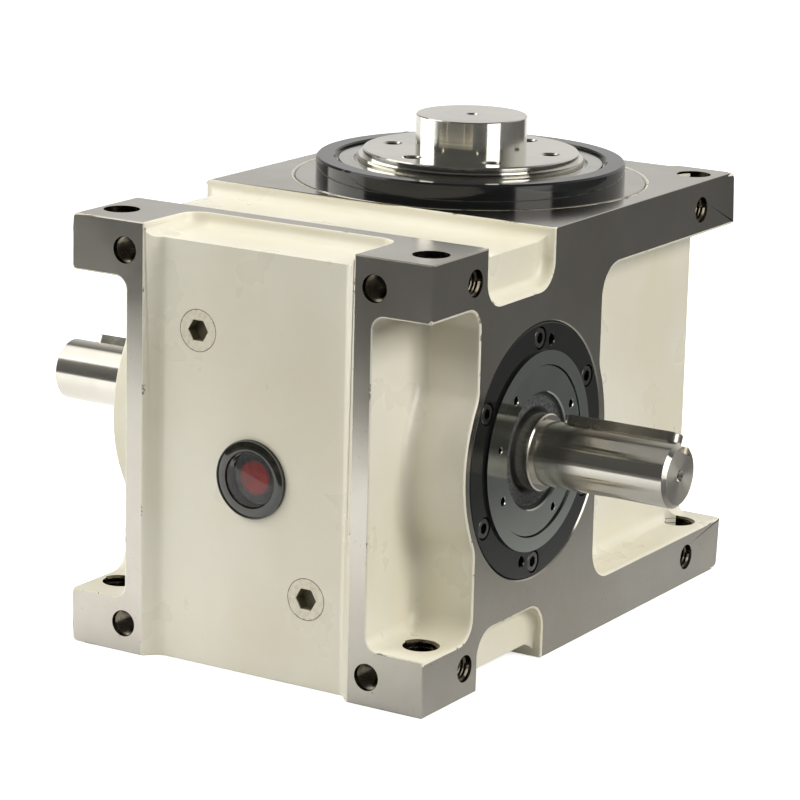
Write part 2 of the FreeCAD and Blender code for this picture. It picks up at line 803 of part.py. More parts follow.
def make_cam():
    """A globoidal cam: an hourglass blank cut by the path of one roller."""
    throat = Part.Arc(vector(cam_edge_radius, 0, -cam_half_width), vector(cam_waist_radius, 0, 0),
                      vector(cam_edge_radius, 0, cam_half_width)).toShape()
    bore = shaft_seat_radius + fit_gap
    sides = Part.makePolygon([vector(r, 0, z) for r, z in (
        (cam_edge_radius, cam_half_width), (cam_hub_radius, cam_half_width), (cam_hub_radius, cam_hub_x),
        (bore, cam_hub_x), (bore, -cam_hub_x), (cam_hub_radius, -cam_hub_x),
        (cam_hub_radius, -cam_half_width),
        (cam_edge_radius, -cam_half_width))])
    blank = on_input(Part.Face(Part.Wire([throat] + sides.Edges)).revolve(vector(0, 0, 0), Z, 360))

    # The groove's section is a slice across the roller, and the cam turns as the section swings along
    side = roller_radius + groove_side_gap
    outside = cam_face_reach - past / 2
    end_angle = math.degrees(math.asin(cam_half_width / cam_face_reach) + side / outside) + groove_end_turn
    steps = math.ceil(2 * end_angle * stop_count * groove_sections_per_turn / 360)
    sections = []
    for i in range(steps + 1):
        turret_turn = end_angle * (2.0 * i / steps - 1)
        swing = math.radians(turret_turn)
        corners = []
        for reach, sign in ((outside, -1), (outside, 1), (groove_floor_reach, 1), (groove_floor_reach, -1)):
            height = centre_distance - reach * math.cos(swing)
            lead = math.atan(reach / (stop_count * height))
            offset = sign * side / math.cos(lead)
            corners.append(vector(reach * math.sin(swing) + offset * math.cos(swing),
                                  height + offset * math.sin(swing), 0))
        section = Part.makePolygon(corners + corners[:1])
        section.rotate(vector(0, 0, 0), X, 180 - stop_count * turret_turn)
        section.translate(input_centre)
        sections.append(section)
    cam = blank.cut(Part.makeLoft(sections, True, False))

    half_slot = cam_key_width / 2 + fit_gap
    slot = box((-cam_hub_x - past, -half_slot, 0),
               (cam_hub_x + past, half_slot, shaft_seat_radius + cam_key_rise + fit_gap))
    nodes["cam"] = cam.cut(slot.translated(input_centre))


def follower_angles():
    pitch = 360.0 / stop_count
    return [-90 + pitch / 2 + pitch * i for i in range(stop_count)]


def along_follower(shape, angle):
    """Turn a shape made along X to a follower's place at the input height."""
    placed = shape.translated(Z * input_axis_z)
    placed.rotate(vector(0, 0, 0), Z, angle)
    return on_output(placed)


def make_turret():
    c = turret_edge_chamfer
    bore = turret_seat_radius + fit_gap
    disc = on_output(turned([
        (bore, turret_bottom_z), (turret_radius - c, turret_bottom_z), (turret_radius, turret_bottom_z + c),
        (turret_radius, turret_top_z - c), (turret_radius - c, turret_top_z), (bore, turret_top_z)]))
    stud_start = turret_radius - stud_depth
    stud = rod(X, vector(stud_start, 0, 0), roller_bore_radius - running_gap, stud_tip_reach - stud_start)
    shoulder_start = turret_radius + fit_gap
    shoulder_end = roller_inner_reach - running_gap
    shoulder = rod(X, vector(shoulder_start, 0, 0), stud_shoulder_radius, shoulder_end - shoulder_start)
    head_start = roller_outer_reach + running_gap
    head = rod(X, vector(head_start, 0, 0), stud_head_radius, stud_tip_reach - head_start)
    stud = stud.fuse(shoulder).fuse(head).removeSplitter()
    hole = rod(X, vector(stud_start, 0, 0), roller_bore_radius, stud_depth + past)
    edge = roller_edge
    roller = turned([
        (roller_bore_radius, 0), (roller_radius - edge, 0), (roller_radius, edge),
        (roller_radius, roller_width - edge), (roller_radius - edge, roller_width),
        (roller_bore_radius, roller_width)])
    roller.rotate(vector(0, 0, 0), Y, 90)
    roller.translate(X * roller_inner_reach)
    studs = []
    for i, angle in enumerate(follower_angles()):
        disc = disc.cut(along_follower(hole, angle))
        studs.append(along_follower(stud, angle))
        nodes["follower_roller_%d" % (i + 1)] = along_follower(roller, angle)
    nodes["follower_studs"] = Part.makeCompound(studs)
    nodes["turret"] = disc.cut(turret_key_seat(turret_thickness / 2 + past, fit_gap))
    nodes["turret_key"] = turret_key_seat(turret_key_length / 2, 0)


def turret_key_seat(half_height, gap):
    """The turret's key, or with a gap the seat that holds it."""
    low = turret_seat_radius - turret_key_depth
    high = turret_seat_radius + turret_key_rise
    half = turret_key_width / 2
    key = box((-half - gap, low + fit_gap - gap, input_axis_z - half_height),
              (half + gap, high + gap, input_axis_z + half_height))
    return on_output(key)


def make_output_shaft():
    seat = turret_seat_radius
    race = upper_bearing_bore_radius
    collar = race + bearing_shoulder
    neck_z = upper_bearing_top_z + neck_relief
    c = flange_edge_chamfer
    step_z = flange_top_z - flange_step_drop
    shaft = turned([
        (0, shaft_bottom_z), (thread_radius, shaft_bottom_z), (thread_radius, lower_bearing_z),
        (lower_bearing_bore_radius, lower_bearing_z), (lower_bearing_bore_radius, lower_bearing_top_z),
        (sleeve_seat_radius, lower_bearing_top_z), (sleeve_seat_radius, turret_bottom_z),
        (seat, turret_bottom_z), (seat, turret_top_z), (shaft_body_radius, turret_top_z),
        (shaft_body_radius, upper_bearing_z),
        (race, upper_bearing_z), (race, upper_bearing_top_z), (collar, upper_bearing_top_z),
        (collar, neck_z),
        (flange_radius, neck_z), (flange_radius, step_z), (flange_step_radius, step_z),
        (flange_step_radius, flange_top_z - c), (flange_step_radius - c, flange_top_z),
        (boss_top_radius, flange_top_z), (boss_top_radius, boss_top_z - boss_chamfer),
        (boss_top_radius - boss_chamfer, boss_top_z), (0, boss_top_z)])
    shaft = on_output(shaft)
    hole = tapped_hole(vector(flange_hole_circle, 0, flange_top_z), Z * -1, flange_hole_radius,
                       flange_hole_depth, flange_hole_sink)
    for copy in ring_of(on_output(hole), output_centre, Z, flange_hole_count, flange_hole_angle):
        shaft = shaft.cut(copy)
    shaft = shaft.cut(centre_hole(output_centre + Z * boss_top_z, Z * -1))
    nodes["output_shaft"] = shaft.cut(turret_key_seat(turret_key_length / 2 + fit_gap, fit_gap))

    bore = sleeve_seat_radius + fit_gap
    nodes["output_spacer"] = on_output(turned([
        (bore, lower_bearing_top_z), (shaft_body_radius, lower_bearing_top_z),
        (shaft_body_radius, turret_bottom_z), (bore, turret_bottom_z)]))
    bore = thread_radius + fit_gap
    nodes["lock_washer"] = on_output(turned([
        (bore, locknut_top_z), (locknut_radius, locknut_top_z), (locknut_radius, lower_bearing_z),
        (bore, lower_bearing_z)]))
    c = locknut_chamfer
    nut = on_output(turned([
        (bore, locknut_bottom_z), (locknut_radius - c, locknut_bottom_z),
        (locknut_radius, locknut_bottom_z + c), (locknut_radius, locknut_top_z), (bore, locknut_top_z)]))
    slot = box((locknut_radius - locknut_slot_depth, -locknut_slot_width / 2, locknut_bottom_z - past),
               (locknut_radius + past, locknut_slot_width / 2, locknut_top_z - locknut_slot_floor))
    for copy in ring_of(on_output(slot), output_centre, Z, locknut_slot_count, 0):
        nut = nut.cut(copy)
    nodes["locknut"] = nut


def make_output_bearings():
    names = ("inner_race", "bearing_rollers", "outer_race")
    upper = tapered_bearing(
        upper_bearing_bore_radius, upper_bearing_outer_radius, upper_bearing_width, upper_roller_count)
    for name, shape in zip(names, upper):
        shape.rotate(vector(0, 0, 0), X, 180)
        nodes["upper_" + name] = on_output(shape.translated(Z * upper_bearing_top_z))
    lower = tapered_bearing(
        lower_bearing_bore_radius, lower_bearing_outer_radius, lower_bearing_width, lower_roller_count)
    for name, shape in zip(names, lower):
        nodes["lower_" + name] = on_output(shape.translated(Z * lower_bearing_z))


def make_carrier():
    bore = upper_bearing_outer_radius + fit_gap
    lip = upper_bearing_outer_radius - bearing_shoulder
    spigot = turret_bore_radius - fit_gap
    cup_top = upper_bearing_top_z
    edge_c = carrier_edge_chamfer
    carrier = on_output(turned([
        (lip, carrier_end_z), (spigot, carrier_end_z), (spigot, carrier_seat_z),
        (carrier_radius, carrier_seat_z), (carrier_radius, housing_height - edge_c),
        (carrier_radius - edge_c, housing_height), (retainer_spigot_radius, housing_height),
        (retainer_spigot_radius, cup_top), (bore, cup_top), (bore, upper_bearing_z),
        (lip, upper_bearing_z)]))
    screw_top = vector(carrier_screw_circle, 0, housing_height)
    hole = on_output(screw_hole(carrier_flange).translated(screw_top))
    for copy in ring_of(hole, output_centre, Z, carrier_screw_count, 0):
        carrier = carrier.cut(copy)
    nodes["bearing_carrier"] = carrier
    screw = on_output(screw_through(carrier_flange, carrier_screw_depth).translated(screw_top))
    nodes["carrier_screws"] = Part.makeCompound(ring_of(screw, output_centre, Z, carrier_screw_count, 0))

    inner = flange_radius + retainer_flange_gap
    spigot = retainer_spigot_radius - fit_gap
    top = retainer_top_z
    floor = housing_height + retainer_floor
    outer_c = retainer_edge_chamfer
    bore_c = retainer_bore_chamfer
    nodes["retainer_ring"] = on_output(turned([
        (inner, cup_top), (spigot, cup_top), (spigot, housing_height), (retainer_radius, housing_height),
        (retainer_radius, top - outer_c), (retainer_radius - outer_c, top),
        (retainer_bore_radius + bore_c, top),
        (retainer_bore_radius, top - bore_c), (retainer_bore_radius, floor), (inner, floor)]))

    seal_top = top - output_seal_drop
    groove_z = seal_top - output_seal_groove_depth
    outer = retainer_bore_radius - fit_gap
    groove = outer - output_seal_groove_width
    inner = flange_radius + output_seal_flange_gap
    nodes["output_seal"] = on_output(turned([
        (inner, floor), (outer, floor), (outer, groove_z), (groove, groove_z),
        (groove - output_seal_slope, seal_top), (inner + output_seal_lip_width, seal_top),
        (inner + output_seal_lip_depth, seal_top - output_seal_lip_depth),
        (inner, seal_top - output_seal_edge)]))


def make_lower_cover():
    low = lower_cover_inset
    c = lower_cover_chamfer
    cover = on_output(turned([
        (0, low), (lower_cover_radius - c, low), (lower_cover_radius, low + c),
        (lower_cover_radius, lower_cover_top_z),
        (lower_bearing_outer_radius, lower_cover_top_z), (lower_bearing_outer_radius, lower_bearing_z),
        (cover_cavity_radius, lower_bearing_z), (cover_cavity_radius, cover_plate_top_z),
        (0, cover_plate_top_z)]))
    hole = screw_hole(lower_cover_thickness)
    screw = screw_through(lower_cover_thickness, lower_screw_depth)
    placed = []
    for shape in (hole, screw):
        shape.rotate(vector(0, 0, 0), X, 180)
        shape = on_output(shape.translated(vector(lower_screw_circle, 0, low)))
        placed.append(ring_of(shape, output_centre, Z, lower_screw_count, 0))
    holes, screws = placed
    for hole in holes:
        cover = cover.cut(hole)
    nodes["lower_cover"] = cover
    nodes["lower_cover_screws"] = Part.makeCompound(screws)


def make_plugs_and_sight_glass():
    for name, x, z in (("fill_plug", fill_plug_x, fill_plug_z), ("drain_plug", drain_plug_x, drain_plug_z)):
        place = vector(x, panel_y, z)
        plug = rod(Y, place, plug_radius, chamber_front_wall)
        nodes[name] = plug.cut(hexagon(plug_key_width, plug_key_depth, place, Y))

    def facing_front(points):
        shape = turned(points)
        shape.rotate(vector(0, 0, 0), X, 90)
        return shape.translated(vector(0, panel_y, sight_z))

    c = sight_edge_chamfer
    front = sight_flange_height
    glass_front = front - sight_glass_recess
    glass_back = glass_front - sight_glass_thickness
    window = sight_window_radius
    ledge = window - sight_ledge
    nodes["sight_bezel"] = facing_front([
        (ledge, -chamber_front_wall), (sight_thread_radius, -chamber_front_wall), (sight_thread_radius, 0),
        (sight_flange_radius, 0), (sight_flange_radius, front - c), (sight_flange_radius - c, front),
        (window, front), (window, glass_back), (ledge, glass_back)])
    glass = window - fit_gap
    nodes["sight_glass"] = facing_front([
        (0, glass_back), (glass, glass_back), (glass, glass_front), (0, glass_front)])
    rim = ledge - fit_gap
    dish = glass_back - sight_disc_dish
    disc_back = glass_back - sight_disc_thickness
    nodes["sight_reflector"] = facing_front([
        (0, disc_back), (rim, disc_back), (rim, dish), (sight_disc_radius, dish), (0, glass_back)])


nodes["housing"] = make_housing()
make_input_covers()
make_input_bearings()
make_input_shaft()
make_cam()
make_turret()
make_output_shaft()
make_output_bearings()
make_carrier()
make_lower_cover()
make_plugs_and_sight_glass()

os.makedirs("parts", exist_ok=True)
for name, shape in nodes.items():
    if not shape.isValid():
        raise ValueError(name + " is not a valid solid")
    shape.exportStep(os.path.join("parts", name + ".step"))
print(len(nodes), "nodes")
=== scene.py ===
import math
import bmesh
import bpy
from mathutils import Matrix, Vector


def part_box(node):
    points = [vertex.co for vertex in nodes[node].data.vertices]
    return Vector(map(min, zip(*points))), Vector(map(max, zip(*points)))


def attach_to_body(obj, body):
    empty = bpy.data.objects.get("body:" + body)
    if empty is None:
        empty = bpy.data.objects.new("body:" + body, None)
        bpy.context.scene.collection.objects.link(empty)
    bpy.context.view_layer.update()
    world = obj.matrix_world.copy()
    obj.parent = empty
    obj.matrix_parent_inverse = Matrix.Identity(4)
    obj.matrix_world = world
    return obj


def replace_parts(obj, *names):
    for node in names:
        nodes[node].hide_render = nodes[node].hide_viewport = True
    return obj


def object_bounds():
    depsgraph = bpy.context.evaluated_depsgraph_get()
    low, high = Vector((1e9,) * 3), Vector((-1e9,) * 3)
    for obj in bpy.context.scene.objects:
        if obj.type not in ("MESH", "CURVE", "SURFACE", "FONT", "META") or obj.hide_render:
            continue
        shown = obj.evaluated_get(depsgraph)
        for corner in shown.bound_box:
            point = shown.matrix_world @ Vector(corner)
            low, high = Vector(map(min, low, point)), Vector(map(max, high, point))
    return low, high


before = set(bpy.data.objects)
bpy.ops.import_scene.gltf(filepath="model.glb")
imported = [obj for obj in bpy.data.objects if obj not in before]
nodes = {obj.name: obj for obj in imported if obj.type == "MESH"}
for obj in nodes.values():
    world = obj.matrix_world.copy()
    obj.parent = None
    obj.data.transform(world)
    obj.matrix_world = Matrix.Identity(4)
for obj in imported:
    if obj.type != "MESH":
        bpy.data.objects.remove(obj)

cadLow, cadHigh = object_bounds()
print("frame loaded:", len(nodes), "nodes")

mm = 0.001


def middleOf(node):
    low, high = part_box(node)
    return (low + high) / 2


# the two axes of the unit, and the corners of its casting
inputAxis = {"place": middleOf("input_shaft"), "along": Vector((1, 0, 0))}
outputAxis = {"place": middleOf("output_shaft"), "along": Vector((0, 0, 1))}
castLow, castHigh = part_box("housing")


# a colour as it looks on screen, 0 to 255, made linear
def tone(red, green, blue):
    channels = []
    for value in (red, green, blue):
        share = value / 255
        channels.append(share / 12.92 if share < 0.04045 else ((share + 0.055) / 1.055) ** 2.4)
    return (*channels, 1)


# small helpers for material nodes
def startMaterial(name, colour, metallic=0.0, roughness=0.5):
    mat = bpy.data.materials.new(name)
    mat.use_nodes = True
    shader = mat.node_tree.nodes["Principled BSDF"]
    shader.inputs["Base Color"].default_value = colour
    shader.inputs["Metallic"].default_value = metallic
    shader.inputs["Roughness"].default_value = roughness
    return mat, mat.node_tree, shader


def attach(tree, socket, value):
    if isinstance(value, bpy.types.NodeSocket):
        tree.links.new(value, socket)
    else:
        socket.default_value = value


def objectPlace(tree, scale=(1, 1, 1), centre=(0, 0, 0)):
    coords = tree.nodes.new("ShaderNodeTexCoord")
    mapping = tree.nodes.new("ShaderNodeMapping")
    mapping.inputs["Scale"].default_value = scale
    mapping.inputs["Location"].default_value = [-c * s for c, s in zip(centre, scale)]
    tree.links.new(coords.outputs["Object"], mapping.inputs["Vector"])
    return mapping.outputs["Vector"]


def noise(tree, place, scale, detail=3.0, roughness=0.5):
    node = tree.nodes.new("ShaderNodeTexNoise")
    tree.links.new(place, node.inputs["Vector"])
    node.inputs["Scale"].default_value = scale
    node.inputs["Detail"].default_value = detail
    node.inputs["Roughness"].default_value = roughness
    return node.outputs["Fac"]


def spread(tree, value, low, high, toLow=0.0, toHigh=1.0):
    node = tree.nodes.new("ShaderNodeMapRange")
    for name, number in (("From Min", low), ("From Max", high), ("To Min", toLow), ("To Max", toHigh)):
        attach(tree, node.inputs[name], number)
    tree.links.new(value, node.inputs["Value"])
    return node.outputs["Result"]


def sums(tree, kind, first, second=0.0):
    node = tree.nodes.new("ShaderNodeMath")
    node.operation = kind
    attach(tree, node.inputs[0], first)
    attach(tree, node.inputs[1], second)
    return node.outputs[0]


def mixed(tree, share, first, second, how="MIX"):
    node = tree.nodes.new("ShaderNodeMix")
    node.data_type = "RGBA"
    node.blend_type = how
    attach(tree, node.inputs[0], share)
    attach(tree, node.inputs[6], first)
    attach(tree, node.inputs[7], second)
    return node.outputs[2]


def relief(tree, height, strength, depth, before=None):
    node = tree.nodes.new("ShaderNodeBump")
    node.inputs["Strength"].default_value = strength
    node.inputs["Distance"].default_value = depth
    tree.links.new(height, node.inputs["Height"])
    if before is not None:
        tree.links.new(before, node.inputs["Normal"])
    return node.outputs["Normal"]


def splitAxes(tree, place):
    node = tree.nodes.new("ShaderNodeSeparateXYZ")
    tree.links.new(place, node.inputs[0])
    return node.outputs


# coordinates that run out from an axis and along it, so marks go round as a lathe leaves them
def turnedPlace(tree, axis):
    x, y, z = splitAxes(tree, objectPlace(tree, centre=axis["place"]))
    alongX = axis["along"].x > 0.5
    length, across, up = (x, y, z) if alongX else (z, x, y)
    radius = sums(tree, "SQRT", sums(tree, "ADD", sums(tree, "MULTIPLY", across, across),
                                     sums(tree, "MULTIPLY", up, up)))
    join = tree.nodes.new("ShaderNodeCombineXYZ")
    tree.links.new(radius, join.inputs[0])
    tree.links.new(length, join.inputs[1])
    return join.outputs[0]


print("materials")

enamelFinish = {
    "colour": tone(229, 224, 206), "warm": tone(223, 217, 194), "grime": tone(186, 178, 152),
    "chip": tone(74, 68, 56), "chipReach": 1.6 * mm, "roughness": 0.3, "grain": 420,
    "blotches": 14, "streaks": (30, 30, 9), "specks": 1500, "chips": 70, "waves": 60,
}


# how far a point lies from the nearest plane that was milled after casting
def distanceToMilled(tree):
    x, y, z = splitAxes(tree, objectPlace(tree))
    side = sums(tree, "SUBTRACT", castHigh.x, sums(tree, "ABSOLUTE", x))
    front = sums(tree, "SUBTRACT", y, castLow.y)
    top = sums(tree, "SUBTRACT", castHigh.z, z)
    base = sums(tree, "SUBTRACT", z, castLow.z)
    return sums(tree, "MINIMUM", sums(tree, "MINIMUM", side, front), sums(tree, "MINIMUM", top, base))


def makeEnamel():
    finish = enamelFinish
    mat, tree, shader = startMaterial("ivory_enamel", finish["colour"], roughness=finish["roughness"])
    place = objectPlace(tree)
    blotch = spread(tree, noise(tree, place, finish["blotches"], 4), 0.42, 0.62)
    colour = mixed(tree, blotch, finish["colour"], finish["warm"])
    streak = spread(tree, noise(tree, objectPlace(tree, finish["streaks"]), 1, 3, 0.5), 0.45, 0.8, 0, 0.1)
    colour = mixed(tree, streak, colour, finish["grime"])
    speck = spread(tree, noise(tree, place, finish["specks"], 2), 0.70, 0.74, 0, 0.3)
    colour = mixed(tree, speck, colour, finish["grime"])
    uneven = spread(tree, noise(tree, place, finish["chips"], 6, 0.75), 0.58, 0.80)
    reach = sums(tree, "MULTIPLY", uneven, finish["chipReach"])
    chipped = sums(tree, "LESS_THAN", distanceToMilled(tree), reach)
    colour = mixed(tree, sums(tree, "MULTIPLY", chipped, 0.8), colour, finish["chip"])
    tree.links.new(colour, shader.inputs["Base Color"])
    gloss = spread(tree, noise(tree, place, 40, 4), 0.3, 0.7, finish["roughness"] - 0.06,
                   finish["roughness"] + 0.1)
    tree.links.new(gloss, shader.inputs["Roughness"])
    shader.inputs["Coat Weight"].default_value = 0.25
    shader.inputs["Coat Roughness"].default_value = 0.12
    cast = noise(tree, place, finish["grain"], 3, 0.6)
    waves = noise(tree, place, finish["waves"], 2)
    bumps = relief(tree, waves, 0.35, 0.5 * mm)
    tree.links.new(relief(tree, cast, 0.25, 0.12 * mm, bumps), shader.inputs["Normal"])
    return mat


ironFinish = {
    "colour": tone(186, 182, 173), "stain": tone(175, 170, 159), "pit": tone(60, 56, 48), "roughness": 0.16,
    "clouds": 18, "pits": 900, "rubbed": 26, "marks": (90, 90, 2400),
}


def makeMilledIron():
    finish = ironFinish
    mat, tree, shader = startMaterial("milled_iron", finish["colour"], 1.0, finish["roughness"])
    place = objectPlace(tree)
    cloud = spread(tree, noise(tree, place, finish["clouds"], 5, 0.6), 0.40, 0.68)
    colour = mixed(tree, cloud, finish["colour"], finish["stain"])
    pits = spread(tree, noise(tree, place, finish["pits"], 2), 0.66, 0.74, 0, 0.4)
    colour = mixed(tree, pits, colour, finish["pit"])
    tree.links.new(colour, shader.inputs["Base Color"])
    rubbed = noise(tree, place, finish["rubbed"], 3, 0.6)
    gloss = spread(tree, rubbed, 0.3, 0.7, finish["roughness"] - 0.02, finish["roughness"] + 0.05)
    tree.links.new(gloss, shader.inputs["Roughness"])
    marks = noise(tree, objectPlace(tree, finish["marks"]), 1, 2)
    tree.links.new(relief(tree, marks, 0.06, 0.01 * mm), shader.inputs["Normal"])
    return mat


# one recipe for everything turned or ground on an axis, with its own values for each finish
turnedFinishes = {
    "turned_iron": {"axis": outputAxis, "colour": tone(186, 182, 173), "second": tone(174, 170, 160),
                    "roughness": 0.17, "brushed": 0.3, "marks": 2200, "depth": 0.01 * mm, "strength": 0.1},
    "polished_output": {"axis": outputAxis, "colour": tone(226, 224, 215), "second": tone(206, 203, 194),
                        "roughness": 0.13, "brushed": 0.75, "marks": 3000, "depth": 0.01 * mm,
                        "strength": 0.08},
    "polished_input": {"axis": inputAxis, "colour": tone(214, 210, 200), "second": tone(198, 194, 183),
                       "roughness": 0.15, "brushed": 0.75, "marks": 3200, "depth": 0.01 * mm,
                       "strength": 0.08, "sawnEnd": 0.3},
    "black_input": {"axis": inputAxis, "colour": tone(20, 22, 20), "second": tone(30, 31, 28), "metal": 0.0,
                    "roughness": 0.09, "brushed": 0.0, "marks": 1500, "depth": 0.01 * mm, "strength": 0.05},
    "black_output": {"axis": outputAxis, "colour": tone(18, 19, 20), "second": tone(28, 29, 30),
                     "metal": 0.0, "roughness": 0.08, "brushed": 0.0, "marks": 1500, "depth": 0.01 * mm,
                     "strength": 0.05},
    "dark_ring": {"axis": inputAxis, "colour": tone(176, 180, 174), "second": tone(160, 164, 158),
                  "roughness": 0.13, "brushed": 0.3, "marks": 2600, "depth": 0.01 * mm, "strength": 0.06},
    "seal_case": {"axis": outputAxis, "colour": tone(190, 189, 182), "second": tone(150, 148, 140),
                  "roughness": 0.16, "brushed": 0.3, "marks": 1200, "depth": 0.03 * mm, "strength": 0.2},
    "bearing_steel": {"axis": inputAxis, "colour": tone(206, 206, 204), "second": tone(186, 186, 184),
                      "roughness": 0.18, "brushed": 0.3, "marks": 2600, "depth": 0.01 * mm,
                      "strength": 0.15},
    "cam_steel": {"axis": inputAxis, "colour": tone(170, 166, 158), "second": tone(136, 130, 120),
                  "roughness": 0.3, "brushed": 0.3, "marks": 1800, "depth": 0.02 * mm, "strength": 0.2},
}
# the cover's raised hub is turned bare, inside this radius and outside the face of the flange
bareHub = {"radius": 38.9 * mm, "face": castHigh.x + 0.3 * mm}


def makeTurned(name):
    finish = turnedFinishes[name]
    mat, tree, shader = startMaterial(name, finish["colour"], finish.get("metal", 1.0), finish["roughness"])
    place = objectPlace(tree)
    cloud = spread(tree, noise(tree, place, 30, 4, 0.6), 0.38, 0.66)
    rings = noise(tree, turnedPlace(tree, finish["axis"]), finish["marks"], 2)
    share = sums(tree, "MULTIPLY", cloud, spread(tree, rings, 0.3, 0.7, 0.4, 1.0))
    colour = mixed(tree, share, finish["colour"], finish["second"])
    if name == "black_input":
        radius, length = splitAxes(tree, turnedPlace(tree, finish["axis"]))[:2]
        raised = sums(tree, "GREATER_THAN", sums(tree, "ABSOLUTE", length), bareHub["face"])
        hub = sums(tree, "MULTIPLY", raised, sums(tree, "LESS_THAN", radius, bareHub["radius"]))
        colour = mixed(tree, hub, colour, turnedFinishes["dark_ring"]["colour"])
        tree.links.new(hub, shader.inputs["Metallic"])
    tree.links.new(colour, shader.inputs["Base Color"])
    gloss = spread(tree, rings, 0.3, 0.7, finish["roughness"] - 0.03, finish["roughness"] + 0.04)
    if "sawnEnd" in finish:
        length = splitAxes(tree, turnedPlace(tree, finish["axis"]))[1]
        sawn = sums(tree, "GREATER_THAN", sums(tree, "ABSOLUTE", length), cadHigh.x - 0.1 * mm)
        gloss = sums(tree, "ADD", gloss, sums(tree, "MULTIPLY", sawn, finish["sawnEnd"]))
    tree.links.new(gloss, shader.inputs["Roughness"])
    tree.links.new(relief(tree, rings, finish["strength"], finish["depth"]), shader.inputs["Normal"])
    turning = tree.nodes.new("ShaderNodeTangent")
    turning.direction_type = "RADIAL"
    turning.axis = "X" if finish["axis"]["along"].x > 0.5 else "Z"
    tree.links.new(turning.outputs[0], shader.inputs["Tangent"])
    shader.inputs["Anisotropic"].default_value = finish["brushed"]
    shader.inputs["Anisotropic Rotation"].default_value = 0.25
    return mat


# plain metals with a fine grain: screws, keys and the walls of tapped holes
grainedFinishes = {
    "black_screw": {"colour": tone(126, 127, 123), "second": tone(96, 97, 94),
                    "roughness": 0.2, "grain": 500},
    "drawn_steel": {"colour": tone(190, 186, 176), "second": tone(176, 172, 162),
                    "roughness": 0.22, "grain": 90},
    # painted shade: the walls of the tapped holes are darker than the milled iron, standing in for the shade
    # inside the holes
    "thread_iron": {"colour": tone(128, 121, 108), "second": tone(84, 77, 64),
                    "roughness": 0.22, "grain": 900},
}


def makeGrained(name):
    finish = grainedFinishes[name]
    mat, tree, shader = startMaterial(name, finish["colour"], 1.0, finish["roughness"])
    place = objectPlace(tree)
    cloud = spread(tree, noise(tree, place, finish["grain"] / 6, 4, 0.6), 0.36, 0.68)
    tree.links.new(mixed(tree, cloud, finish["colour"], finish["second"]), shader.inputs["Base Color"])
    grain = noise(tree, place, finish["grain"], 3, 0.6)
    gloss = spread(tree, grain, 0.3, 0.7, finish["roughness"] - 0.05, finish["roughness"] + 0.07)
    tree.links.new(gloss, shader.inputs["Roughness"])
    tree.links.new(relief(tree, grain, 0.12, 0.03 * mm), shader.inputs["Normal"])
    return mat


glassFinish = {"colour": tone(20, 21, 18), "cover": 0.34, "ior": 1.85}
mouldingFinish = {"colour": tone(22, 22, 14), "second": tone(48, 46, 34), "ior": 1.7}


def makeGlass():
    finish = glassFinish
    mat, tree, shader = startMaterial("sight_glass", finish["colour"], roughness=0.04)
    shader.inputs["Alpha"].default_value = finish["cover"]
    shader.inputs["IOR"].default_value = finish["ior"]
    smear = spread(tree, noise(tree, objectPlace(tree), 120, 3), 0.4, 0.7, 0.02, 0.07)
    tree.links.new(smear, shader.inputs["Roughness"])
    return mat


# the clear moulding round the window, which looks dark because the oil chamber is behind it
def makeMoulding():
    finish = mouldingFinish
    mat, tree, shader = startMaterial("sight_moulding", finish["colour"], roughness=0.05)
    cloud = spread(tree, noise(tree, objectPlace(tree), 260, 3, 0.6), 0.4, 0.65)
    tree.links.new(mixed(tree, cloud, finish["colour"], finish["second"]), shader.inputs["Base Color"])
    smear = spread(tree, noise(tree, objectPlace(tree), 150, 3), 0.4, 0.7, 0.03, 0.1)
    tree.links.new(smear, shader.inputs["Roughness"])
    shader.inputs["IOR"].default_value = finish["ior"]
    return mat


# the shaft seals: a grey moulded face between the black rim and the black lip
sealFinish = {"face": (17.2 * mm, 21.5 * mm), "grey": tone(92, 94, 92), "black": tone(34, 35, 35)}


def makeSealRubber():
    finish = sealFinish
    mat, tree, shader = startMaterial("seal_rubber", finish["black"], roughness=0.38)
    radius = splitAxes(tree, turnedPlace(tree, inputAxis))[0]
    inside = sums(tree, "LESS_THAN", radius, finish["face"][1])
    face = sums(tree, "MULTIPLY", inside, sums(tree, "GREATER_THAN", radius, finish["face"][0]))
    mould = noise(tree, objectPlace(tree), 900, 3, 0.6)
    grey = mixed(tree, spread(tree, mould, 0.4, 0.62), finish["grey"], finish["black"])
    tree.links.new(mixed(tree, face, finish["black"], grey), shader.inputs["Base Color"])
    tree.links.new(relief(tree, mould, 0.4, 0.15 * mm), shader.inputs["Normal"])
    return mat


# painted over once screwed in: the key socket and the seam are bare and dark
plugFinish = {
    "paint": tone(222, 216, 196), "shade": tone(206, 199, 174), "bare": tone(112, 105, 84), "grain": 700,
    "seam": 8.15 * mm, "seamUneven": 0.5 * mm, "socket": 5 * mm, "entry": 0.2 * mm, "entryUneven": 0.8 * mm,
}


# how far a point lies from the Y axis of a round piece in the front panel
def distanceOut(tree, x, z):
    return sums(tree, "SQRT", sums(tree, "ADD", sums(tree, "MULTIPLY", x, x), sums(tree, "MULTIPLY", z, z)))


